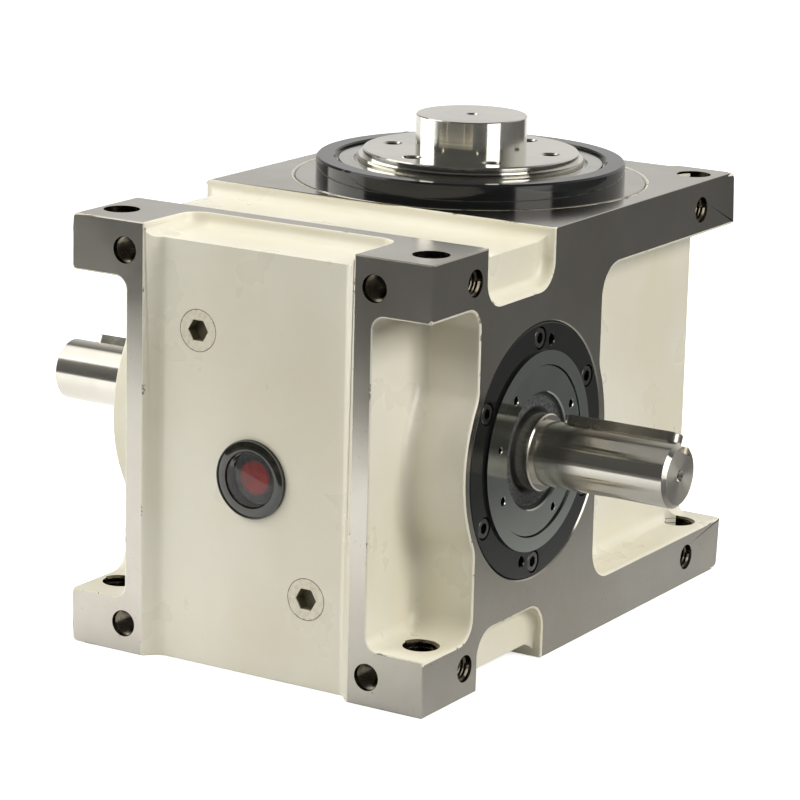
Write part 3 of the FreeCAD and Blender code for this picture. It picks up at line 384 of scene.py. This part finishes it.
def makePlugFinish(node):
    finish = plugFinish
    middle = middleOf(node)
    mat, tree, shader = startMaterial(node + "_finish", finish["paint"], roughness=0.34)
    x, y, z = splitAxes(tree, objectPlace(tree, centre=(middle.x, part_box(node)[0].y, middle.z)))
    out = distanceOut(tree, x, z)
    patchy = noise(tree, objectPlace(tree), finish["grain"], 3)
    rim = sums(tree, "ADD", out, sums(tree, "MULTIPLY", patchy, finish["seamUneven"]))
    seam = sums(tree, "GREATER_THAN", rim, finish["seam"])
    depth = sums(tree, "SUBTRACT", y, sums(tree, "MULTIPLY", patchy, finish["entryUneven"]))
    deep = sums(tree, "GREATER_THAN", depth, finish["entry"])
    inside = sums(tree, "MULTIPLY", deep, sums(tree, "LESS_THAN", out, finish["socket"]))
    colour = mixed(tree, spread(tree, patchy, 0.4, 0.7), finish["paint"], finish["shade"])
    colour = mixed(tree, sums(tree, "MAXIMUM", seam, inside), colour, finish["bare"])
    tree.links.new(colour, shader.inputs["Base Color"])
    tree.links.new(relief(tree, patchy, 0.25, 0.08 * mm), shader.inputs["Normal"])
    return mat


# the sight glass's backing: a red spot in the middle of a dark oily cup
sightBacking = {
    "red": tone(252, 58, 40), "redShade": tone(196, 36, 28), "spot": (5.6 * mm, 7.1 * mm),
    "cup": tone(30, 29, 18), "cupShade": tone(92, 90, 76), "oil": 320,
}


def makeSightBacking():
    finish = sightBacking
    mat, tree, shader = startMaterial("sight_backing", finish["cup"], roughness=0.3)
    x, y, z = splitAxes(tree, objectPlace(tree, centre=middleOf("sight_reflector")))
    oily = noise(tree, objectPlace(tree), finish["oil"], 4, 0.6)
    cup = mixed(tree, spread(tree, oily, 0.35, 0.65), finish["cup"], finish["cupShade"])
    red = mixed(tree, spread(tree, oily, 0.4, 0.7), finish["red"], finish["redShade"])
    edge = spread(tree, distanceOut(tree, x, z), *finish["spot"])
    tree.links.new(mixed(tree, edge, red, cup), shader.inputs["Base Color"])
    tree.links.new(relief(tree, oily, 0.2, 0.1 * mm), shader.inputs["Normal"])
    return mat


finishes = {"enamel": makeEnamel(), "iron": makeMilledIron(), "glass": makeGlass(),
            "moulding": makeMoulding(), "sight": makeSightBacking(), "seal_rubber": makeSealRubber(),
            "fill": makePlugFinish("fill_plug"), "drain": makePlugFinish("drain_plug")}
for name in turnedFinishes:
    finishes[name] = makeTurned(name)
for name in grainedFinishes:
    finishes[name] = makeGrained(name)

# which finish each carried-over node wears
wears = {
    "fill_plug": "fill", "drain_plug": "drain",
    "bearing_carrier": "turned_iron", "retainer_ring": "black_output", "output_seal": "seal_case",
    "carrier_screws": "black_screw", "lower_cover": "turned_iron", "lower_cover_screws": "black_screw",
    "sight_bezel": "moulding", "sight_glass": "glass", "sight_reflector": "sight",
    "input_shaft": "polished_input", "shaft_key_left": "drawn_steel", "shaft_key_right": "drawn_steel",
    "cam_key": "drawn_steel", "cam": "cam_steel", "input_spacer": "drawn_steel", "turret": "cam_steel",
    "turret_key": "drawn_steel", "output_shaft": "polished_output", "output_spacer": "drawn_steel",
    "lock_washer": "drawn_steel", "locknut": "black_screw", "follower_studs": "bearing_steel",
}
for name, node in nodes.items():
    if name in wears:
        finish = wears[name]
    elif name.startswith("input_cover_screws"):
        finish = "black_screw"
    elif name.startswith("input_cover"):
        finish = "black_input"
    elif name.startswith("adjusting_ring"):
        finish = "dark_ring"
    elif name.startswith("input_seal"):
        finish = "seal_rubber"
    else:
        finish = "bearing_steel"
    node.material_slots[0].material = finishes[finish]


# a merged copy of a node's mesh, ready to be worked on
def copyOf(node):
    bm = bmesh.new()
    bm.from_mesh(nodes[node].data)
    bmesh.ops.remove_doubles(bm, verts=bm.verts, dist=0.002 * mm)
    return bm


def asPiece(bm, name, materials, body):
    mesh = bpy.data.meshes.new(name)
    bm.to_mesh(mesh)
    bm.free()
    for mat in materials:
        mesh.materials.append(mat)
    piece = bpy.data.objects.new(name, mesh)
    bpy.context.scene.collection.objects.link(piece)
    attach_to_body(piece, body)
    return piece


def shadeByAngle(bm, degrees):
    for face in bm.faces:
        face.smooth = True
    for edge in bm.edges:
        pair = edge.link_faces
        alike = len(pair) == 2 and pair[0].material_index == pair[1].material_index
        edge.smooth = alike and edge.calc_face_angle() < math.radians(degrees)


# the four places at a distance each way from a middle
def corners(first, second):
    return [(a, b) for a in (-first, first) for b in (-second, second)]


# the mouths of the tapped holes, set in from the casting's faces
lugInset = (11 * mm, 16.5 * mm)
faceInset = {"front": 24.5 * mm, "side": 30 * mm, "height": 11.5 * mm}
middleZ = (castLow.z + castHigh.z) / 2
risenZ = middleZ - castLow.z - faceInset["height"]
tapped = []
for x, y in corners(castHigh.x - lugInset[0], castHigh.y - lugInset[1]):
    for z, inward in ((castLow.z, 1), (castHigh.z, -1)):
        tapped.append({"place": Vector((x, y, z)), "inward": Vector((0, 0, inward)), "size": "M14"})
for x, z in corners(castHigh.x - faceInset["front"], risenZ):
    mouth = Vector((x, castLow.y, middleZ + z))
    tapped.append({"place": mouth, "inward": Vector((0, 1, 0)), "size": "M10"})
for y, z in corners(castHigh.y - faceInset["side"], risenZ):
    for x in (castLow.x, castHigh.x):
        inward = Vector((1 if x < 0 else -1, 0, 0))
        tapped.append({"place": Vector((x, y, middleZ + z)), "inward": inward, "size": "M10"})
# their drilled radius, thread radius, pitch, depth and countersink
threadSizes = {
    "M14": {"drill": 6 * mm, "major": 7 * mm, "pitch": 2 * mm, "depth": 22 * mm, "sink": 1 * mm},
    "M10": {"drill": 4.25 * mm, "major": 5 * mm, "pitch": 1.5 * mm, "depth": 18 * mm, "sink": 1 * mm},
}
# the six holes of the output flange, where a sleeve, dark with painted shade, carries the thread
flangeThread = {
    "drill": 2.95 * mm, "major": 3.33 * mm, "pitch": 1.25 * mm, "depth": 13.8 * mm, "sink": 0.8 * mm,
    "sleeve": 3.39 * mm, "circle": 33 * mm, "first": 15.5, "count": 6, "top": 181.5 * mm,
}

print("housing")


# the housing's materials, in their order on the piece
enamel, iron, bare = range(3)

# what is taken off the edges: the enamel's rounded lips where a face was milled, and the broken
# corners between two milled faces
edgeTrim = {
    "pocket": {"width": 1.3 * mm, "segments": 2},
    "other": {"width": 0.7 * mm, "segments": 2},
    "corner": {"width": 0.5 * mm, "segments": 1},
}


def edgeKind(edge):
    kinds = [face.material_index for face in edge.link_faces]
    if kinds == [iron, iron]:
        return "corner" if edge.calc_face_angle() > math.radians(35) else "flat"
    if sorted(kinds) != [enamel, iron] or edge.calc_face_angle() < math.radians(15):
        return "flat"
    flat = next(face for face in edge.link_faces if face.material_index == iron)
    return "pocket" if abs(flat.normal.x) > 0.999 else "other"


# the bored seats of the covers and the bearing carrier are bare iron
bores = [{"axis": inputAxis, "node": "input_cover_right"}, {"axis": outputAxis, "node": "bearing_carrier"},
         {"axis": outputAxis, "node": "lower_cover"}]
for bore in bores:
    boreLow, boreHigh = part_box(bore["node"])
    bore["radius"] = (boreHigh.y - boreLow.y) / 2
boreGap = 0.5 * mm


def inBore(face, bore):
    for vert in face.verts:
        away = vert.co - bore["axis"]["place"]
        out = (away - bore["axis"]["along"] * away.dot(bore["axis"]["along"])).length
        if abs(out - bore["radius"]) > boreGap:
            return False
    return True


# how near to a tapped hole's mouth, floor and wall a point of the mesh belongs to it
holeSlack = {"rim": 0.1 * mm, "floor": 1 * mm, "mouth": 0.5 * mm, "wall": 0.02 * mm}


def placeInHole(vert, hole):
    away = vert.co - hole["place"]
    depth = away.dot(hole["inward"])
    return depth, away - hole["inward"] * depth


# bares the walls of a tapped hole and widens it to the thread's outer radius
def openHole(bm, hole):
    size = threadSizes[hole["size"]]
    reach = size["drill"] + size["sink"] + holeSlack["rim"]
    inHole = set()
    for vert in bm.verts:
        depth, radial = placeInHole(vert, hole)
        if -holeSlack["rim"] < depth < size["depth"] + holeSlack["floor"] and radial.length < reach:
            inHole.add(vert)
    for face in bm.faces:
        if face.material_index == enamel and all(vert in inHole for vert in face.verts):
            face.material_index = bare
    for vert in bm.verts:
        depth, radial = placeInHole(vert, hole)
        onWall = abs(radial.length - size["drill"]) < holeSlack["wall"]
        if onWall and holeSlack["mouth"] < depth < size["depth"] + holeSlack["mouth"]:
            vert.co += radial.normalized() * (size["major"] - size["drill"])


# faces that are flat within this angle are joined, so that bevels have room
flatAngle = math.radians(0.4)


def makeHousing():
    bm = copyOf("housing")
    bmesh.ops.dissolve_limit(bm, angle_limit=flatAngle, verts=bm.verts, edges=bm.edges, delimit={"NORMAL"})
    bmesh.ops.dissolve_degenerate(bm, edges=bm.edges, dist=0.05 * mm)
    planes = [(axis, corner[axis]) for axis in range(3) for corner in (castLow, castHigh)]
    for face in bm.faces:
        middle = face.calc_center_median()
        face.material_index = enamel
        for axis, value in planes:
            if abs(face.normal[axis]) > 0.999 and abs(middle[axis] - value) < 0.01 * mm:
                face.material_index = iron
    for face in bm.faces:
        if face.material_index == enamel and any(inBore(face, bore) for bore in bores):
            face.material_index = iron
    for hole in tapped:
        openHole(bm, hole)
    for kind, trim in edgeTrim.items():
        edges = [edge for edge in bm.edges if edgeKind(edge) == kind]
        made = bmesh.ops.bevel(bm, geom=edges, offset=trim["width"], offset_type="OFFSET", profile=0.5,
                               segments=trim["segments"], affect="EDGES", clamp_overlap=False,
                               material=iron if kind == "corner" else enamel)
        print("edges", kind, len(edges), "made", len(made["faces"]), "faces")
    bmesh.ops.dissolve_degenerate(bm, edges=bm.edges, dist=0.01 * mm)
    bmesh.ops.dissolve_limit(bm, angle_limit=flatAngle, verts=bm.verts, edges=bm.edges, delimit={"MATERIAL"})
    shadeByAngle(bm, 30)
    piece = asPiece(bm, "cast_housing", [finishes["enamel"], finishes["iron"], finishes["thread_iron"]],
                    "housing")
    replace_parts(piece, "housing")
    piece.modifiers.new("flat_faces", "WEIGHTED_NORMAL").keep_sharp = True
    return piece


makeHousing()

print("threads")


# the ridge reaches a little into the wall; its foot and its crest's place are shares of the pitch
ridge = {"intoWall": 0.05 * mm, "foot": 0.8, "crest": 0.4, "stepsPerTurn": 24}


# a three-sided ridge wound down Z from the mouth of its hole
def threadMesh(size):
    bm = bmesh.new()
    base = size["major"] + ridge["intoWall"]
    pitch = size["pitch"]
    turns = int((size["depth"] - size["sink"]) / pitch)
    profile = [bm.verts.new((base, 0, 0)), bm.verts.new((base, 0, -ridge["foot"] * pitch)),
               bm.verts.new((size["drill"], 0, -ridge["crest"] * pitch))]
    outline = [bm.edges.new((profile[i - 1], profile[i])) for i in range(3)]
    bmesh.ops.spin(bm, geom=profile + outline, cent=(0, 0, 0), axis=(0, 0, 1),
                   dvec=(0, 0, -pitch / ridge["stepsPerTurn"]), angle=-2 * math.pi * turns,
                   steps=ridge["stepsPerTurn"] * turns)
    openEdges = [edge for edge in bm.edges if len(edge.link_faces) == 1]
    bmesh.ops.holes_fill(bm, edges=openEdges, sides=3)
    bmesh.ops.recalc_face_normals(bm, faces=bm.faces)
    bmesh.ops.translate(bm, verts=bm.verts, vec=(0, 0, -size["sink"]))
    shadeByAngle(bm, 30)
    mesh = bpy.data.meshes.new("thread")
    bm.to_mesh(mesh)
    bm.free()
    return mesh


# copies of a mesh made at the origin with its top to +Z, each set at a place and facing outwards
def setCopies(mesh, settings):
    bm = bmesh.new()
    for place, outward in settings:
        before = len(bm.verts)
        bm.from_mesh(mesh)
        bm.verts.ensure_lookup_table()
        turn = outward.to_track_quat("Z", "Y").to_matrix()
        moved = bm.verts[before:]
        bmesh.ops.rotate(bm, verts=moved, cent=(0, 0, 0), matrix=turn)
        bmesh.ops.translate(bm, verts=moved, vec=place)
    return bm


def makeThreads():
    for name, size in threadSizes.items():
        settings = [(hole["place"], -hole["inward"]) for hole in tapped if hole["size"] == name]
        bm = setCopies(threadMesh(size), settings)
        asPiece(bm, "threads_" + name, [finishes["thread_iron"]], "housing")


# the wall behind a thread, dark with painted shade, closed and as deep as its hole
def sleeveMesh(size):
    bm = bmesh.new()
    profile = []
    for radius, z in ((size["sleeve"], -size["sink"]), (size["sleeve"], -size["depth"]),
                      (size["major"], -size["depth"]), (size["major"], -size["sink"])):
        profile.append(bm.verts.new((radius, 0, z)))
    outline = [bm.edges.new((profile[i - 1], profile[i])) for i in range(4)]
    bmesh.ops.spin(bm, geom=profile + outline, cent=(0, 0, 0), axis=(0, 0, 1), angle=2 * math.pi, steps=48)
    bmesh.ops.remove_doubles(bm, verts=bm.verts, dist=0.001 * mm)
    bmesh.ops.recalc_face_normals(bm, faces=bm.faces)
    shadeByAngle(bm, 30)
    mesh = bpy.data.meshes.new("sleeve")
    bm.to_mesh(mesh)
    bm.free()
    return mesh


def makeFlangeThreads():
    size = flangeThread
    settings = []
    for i in range(size["count"]):
        turn = math.radians(size["first"] + 360 / size["count"] * i)
        out = Vector((math.cos(turn), math.sin(turn), 0)) * size["circle"]
        settings.append((Vector((0, outputAxis["place"].y, size["top"])) + out, Vector((0, 0, 1))))
    for name, mesh in (("threads_M8", threadMesh(size)), ("thread_sleeves", sleeveMesh(size))):
        asPiece(setCopies(mesh, settings), name, [finishes["thread_iron"]], "output")


makeThreads()
makeFlangeThreads()

print("sight glass")

# the moulded window of the oil level: half profiles as radius and height above the panel
sight = {
    "rim": 15.25 * mm, "rimTop": 1.45 * mm, "rimInner": 14.75 * mm, "groove": 1.05 * mm,
    "swell": ((14.4 * mm, 1.1 * mm), (13.2 * mm, 1.45 * mm), (12.0 * mm, 1.6 * mm), (11.1 * mm, 1.6 * mm)),
    "window": 10.98 * mm, "stem": 12.4 * mm, "deep": -12.0 * mm, "ledge": 9.52 * mm, "seat": -1.95 * mm,
    "dome": ((10.9 * mm, 1.0 * mm), (10.6 * mm, 1.35 * mm), (10.0 * mm, 1.45 * mm), (9.3 * mm, 1.75 * mm),
             (7.6 * mm, 2.25 * mm), (5.2 * mm, 2.65 * mm), (2.6 * mm, 2.85 * mm), (0, 2.9 * mm)),
    "chamfer": 0.3 * mm, "ease": 0.15 * mm, "lip": 1.4 * mm, "gap": 0.05 * mm, "steps": 96,
}


# spins a profile round the window's own axis and stands it on the front panel
def turnedOnPanel(points, name, finish):
    middle = middleOf("sight_bezel")
    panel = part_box("fill_plug")[0].y
    bm = bmesh.new()
    verts = [bm.verts.new((radius, 0, height)) for radius, height in points]
    edges = [bm.edges.new(pair) for pair in zip(verts, verts[1:])]
    if points[0][0] > 0 and points[-1][0] > 0:
        edges.append(bm.edges.new((verts[-1], verts[0])))
    bmesh.ops.spin(bm, geom=verts + edges, cent=(0, 0, 0), axis=(0, 0, 1), angle=2 * math.pi,
                   steps=sight["steps"])
    bmesh.ops.remove_doubles(bm, verts=bm.verts, dist=0.002 * mm)
    bmesh.ops.recalc_face_normals(bm, faces=bm.faces)
    bmesh.ops.rotate(bm, verts=bm.verts, cent=(0, 0, 0), matrix=Matrix.Rotation(math.radians(90), 3, "X"))
    bmesh.ops.translate(bm, verts=bm.verts, vec=(middle.x, panel, middle.z))
    shadeByAngle(bm, 40)
    return asPiece(bm, name, [finishes[finish]], "housing")


def makeSight():
    moulding = [(sight["stem"], 0), (sight["rim"], 0), (sight["rim"], sight["rimTop"] - sight["chamfer"]),
                (sight["rim"] - sight["ease"], sight["rimTop"]), (sight["rimInner"], sight["rimTop"]),
                (sight["rimInner"] - sight["ease"], sight["groove"]), *sight["swell"],
                (sight["window"], sight["lip"]), (sight["window"], sight["seat"]),
                (sight["ledge"], sight["seat"]), (sight["ledge"], sight["deep"]),
                (sight["stem"], sight["deep"])]
    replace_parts(turnedOnPanel(moulding, "sight_moulding", "moulding"), "sight_bezel")
    under = sight["seat"] + sight["gap"]
    window = [(0, under), (sight["dome"][0][0], under), *sight["dome"]]
    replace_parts(turnedOnPanel(window, "sight_window", "glass"), "sight_glass")


makeSight()

print("studio")

# the photograph's view: turned from straight on, raised and rolled, in degrees and metres
shot = {
    "azimuth": 31.501, "elevation": 14.058, "roll": 1.383, "lens": 155.195, "sensor": 36.0,
    "away": 1.40496, "right": -0.00528, "up": 0.08208,
}

# where mirrors see the white sheet under the unit darken and end, in metres: to the right it darkens
# into a painted shadow of the unit, and in front it has an edge that runs out to the left
paper = {
    "reach": 6.0, "below": 0.05 * mm, "colour": (0.93, 0.93, 0.92, 1), "right": (-0.06, 0.22),
    "edge": (0.36, 0.40), "slant": 0.45, "beyond": 0.1, "glow": 0.3, "seen": 0.6,
}


def makeFloor():
    bm = bmesh.new()
    bmesh.ops.create_grid(bm, x_segments=8, y_segments=8, size=paper["reach"])
    bmesh.ops.translate(bm, verts=bm.verts, vec=(0, 0, castLow.z - paper["below"]))
    mesh = bpy.data.meshes.new("floor")
    bm.to_mesh(mesh)
    bm.free()
    floor = bpy.data.objects.new("floor", mesh)
    bpy.context.scene.collection.objects.link(floor)
    mat, tree, shader = startMaterial("floor_paper", paper["colour"], roughness=0.8)
    rays = tree.nodes.new("ShaderNodeLightPath")
    x, y, z = splitAxes(tree, objectPlace(tree))
    # painted shadow: the sheet's colour and its glow in mirrors fall off towards the right, where the unit's
    # shadow lies
    right = spread(tree, x, paper["right"][1], paper["right"][0])
    ahead = sums(tree, "SUBTRACT", sums(tree, "MULTIPLY", x, paper["slant"]), y)
    front = spread(tree, ahead, paper["edge"][1], paper["edge"][0])
    sheet = spread(tree, sums(tree, "MULTIPLY", right, front), 0, 1, paper["beyond"], 1)
    seen = sums(tree, "MAXIMUM", rays.outputs["Is Camera Ray"], rays.outputs["Is Transmission Ray"])
    lit = sums(tree, "MAXIMUM", seen, sheet)
    tree.links.new(mixed(tree, lit, (0, 0, 0, 1), paper["colour"]), shader.inputs["Base Color"])
    shader.inputs["Emission Color"].default_value = (1, 1, 1, 1)
    mirrored = sums(tree, "MULTIPLY", rays.outputs["Is Glossy Ray"], sheet)
    glow = sums(tree, "ADD", sums(tree, "MULTIPLY", seen, paper["seen"]),
                sums(tree, "MULTIPLY", mirrored, paper["glow"]))
    tree.links.new(glow, shader.inputs["Emission Strength"])
    mesh.materials.append(mat)


# the air's brightness: dark towards the camera and overhead, light low behind the unit
air = {"colour": (1.0, 0.99, 0.965, 1), "back": 1.0, "up": -0.3, "dark": (0.0, 0.1), "light": (0.72, 0.74)}


def makeWorld():
    world = bpy.data.worlds.new("studio_air")
    bpy.context.scene.world = world
    world.use_nodes = True
    tree = world.node_tree
    light = tree.nodes["Background"]
    light.inputs["Color"].default_value = air["colour"]
    coords = tree.nodes.new("ShaderNodeTexCoord")
    x, y, z = splitAxes(tree, coords.outputs["Generated"])
    away = sums(tree, "ADD", sums(tree, "MULTIPLY", y, air["back"]), sums(tree, "MULTIPLY", z, air["up"]))
    tree.links.new(spread(tree, away, air["dark"][0], air["light"][0], air["dark"][1], air["light"][1]),
                   light.inputs["Strength"])
    plain = tree.nodes.new("ShaderNodeBackground")
    plain.inputs["Color"].default_value = (1, 1, 1, 1)
    rays = tree.nodes.new("ShaderNodeLightPath")
    seen = sums(tree, "MAXIMUM", rays.outputs["Is Camera Ray"], rays.outputs["Is Transmission Ray"])
    pick = tree.nodes.new("ShaderNodeMixShader")
    tree.links.new(seen, pick.inputs[0])
    tree.links.new(light.outputs[0], pick.inputs[1])
    tree.links.new(plain.outputs[0], pick.inputs[2])
    tree.links.new(pick.outputs[0], tree.nodes["World Output"].inputs["Surface"])


def addLamp(name):
    values = lamps[name]
    lamp = bpy.data.lights.new(name, "AREA")
    lamp.shape = "RECTANGLE"
    lamp.size, lamp.size_y = values["size"]
    lamp.energy = values["power"]
    holder = bpy.data.objects.new(name, lamp)
    bpy.context.scene.collection.objects.link(holder)
    holder.location = values["place"]
    holder.rotation_euler = (lampTarget - Vector(values["place"])).to_track_quat("-Z", "Y").to_euler()
    holder.visible_glossy = False


# softboxes, aimed at the middle of the unit, with sizes in metres and power in watts
lampTarget = Vector((0, 0, 0.08))
lamps = {
    "key_box": {"place": (-1.2, -0.75, 1.35), "size": (0.9, 0.9), "power": 20},
    "front_box": {"place": (-0.2, -1.9, 1.5), "size": (1.0, 0.8), "power": 14},
    "top_box": {"place": (0.1, 0.3, 1.8), "size": (1.2, 1.2), "power": 10},
    "right_box": {"place": (1.6, 0.1, 0.9), "size": (0.8, 0.8), "power": 24},
}

# white cards stood beside the unit, seen only in its polished metal: the way to each from the
# unit as an angle round from the camera's side, its width and height in metres and its brightness
cards = {
    "left_card": {"round": -108, "away": 1.0, "size": (0.85, 0.9), "glow": 3.0},
    "right_card": {"round": 48, "away": 1.0, "size": (0.5, 0.9), "glow": 3.4},
}


# a sheet that only mirrors see; gives back its nodes
def addCard(bm, name):
    mesh = bpy.data.meshes.new(name)
    bm.to_mesh(mesh)
    bm.free()
    mat, tree, shader = startMaterial(name + "_white", (0, 0, 0, 1), roughness=1.0)
    shader.inputs["Emission Color"].default_value = (1.0, 0.99, 0.96, 1)
    mesh.materials.append(mat)
    piece = bpy.data.objects.new(name, mesh)
    bpy.context.scene.collection.objects.link(piece)
    piece.visible_camera = False
    piece.visible_diffuse = False
    piece.visible_shadow = False
    piece.visible_transmission = False
    return tree


def makeCard(name):
    card = cards[name]
    turn = math.radians(shot["azimuth"] + card["round"])
    bm = bmesh.new()
    bmesh.ops.create_grid(bm, x_segments=1, y_segments=1, size=0.5)
    bmesh.ops.scale(bm, verts=bm.verts, vec=(card["size"][0], card["size"][1], 1))
    bmesh.ops.rotate(bm, verts=bm.verts, cent=(0, 0, 0), matrix=Matrix.Rotation(math.radians(90), 3, "X"))
    bmesh.ops.rotate(bm, verts=bm.verts, cent=(0, 0, 0), matrix=Matrix.Rotation(turn, 3, "Z"))
    place = Vector((math.sin(turn), -math.cos(turn), 0)) * card["away"]
    bmesh.ops.translate(bm, verts=bm.verts, vec=place + Vector((0, 0, card["size"][1] / 2)))
    shader = addCard(bm, name).nodes["Principled BSDF"]
    shader.inputs["Emission Strength"].default_value = card["glow"]


# a white sheet overhead to the left, bright at its far end, which the shafts and corners mirror
overhead = {"middle": (-1.1, -0.49, 1.5), "size": (1.2, 2.2), "soft": 0.35, "near": (-0.74, 0.42),
            "far": (-0.84, 1.6), "slant": 0.2}


def makeOverhead():
    size = overhead
    bm = bmesh.new()
    bmesh.ops.create_grid(bm, x_segments=1, y_segments=1, size=0.5)
    bmesh.ops.scale(bm, verts=bm.verts, vec=(*size["size"], 1))
    bmesh.ops.translate(bm, verts=bm.verts, vec=size["middle"])
    tree = addCard(bm, "overhead_card")
    x, y, z = splitAxes(tree, objectPlace(tree))
    along = sums(tree, "ADD", x, sums(tree, "MULTIPLY", sums(tree, "ABSOLUTE", y), size["slant"]))
    bright = spread(tree, along, size["near"][0], size["far"][0], size["near"][1], size["far"][1])
    out = sums(tree, "ABSOLUTE", sums(tree, "SUBTRACT", y, size["middle"][1]))
    half = size["size"][1] / 2
    edge = spread(tree, out, half, half - size["soft"])
    shader = tree.nodes["Principled BSDF"]
    tree.links.new(sums(tree, "MULTIPLY", bright, edge), shader.inputs["Emission Strength"])


makeFloor()
makeWorld()
for name in lamps:
    addLamp(name)
for name in cards:
    makeCard(name)
makeOverhead()

print("camera")


def makeCamera():
    turn = math.radians(shot["azimuth"])
    rise = math.radians(shot["elevation"])
    roll = math.radians(shot["roll"])
    back = Vector((math.sin(turn) * math.cos(rise), -math.cos(turn) * math.cos(rise), math.sin(rise)))
    right = Vector((math.cos(turn), math.sin(turn), 0))
    up = back.cross(right)
    place = back * shot["away"] + right * shot["right"] + up * shot["up"]
    rolledRight = right * math.cos(roll) + up * math.sin(roll)
    rolledUp = up * math.cos(roll) - right * math.sin(roll)
    facing = Matrix((rolledRight, rolledUp, back)).transposed()
    camera = bpy.data.objects.new("photo_camera", bpy.data.cameras.new("photo_camera"))
    bpy.context.scene.collection.objects.link(camera)
    camera.matrix_world = Matrix.Translation(place) @ facing.to_4x4()
    camera.data.sensor_width = shot["sensor"]
    camera.data.lens = shot["lens"]
    bpy.context.scene.camera = camera


makeCamera()
bpy.context.scene.view_settings.view_transform = "Standard"
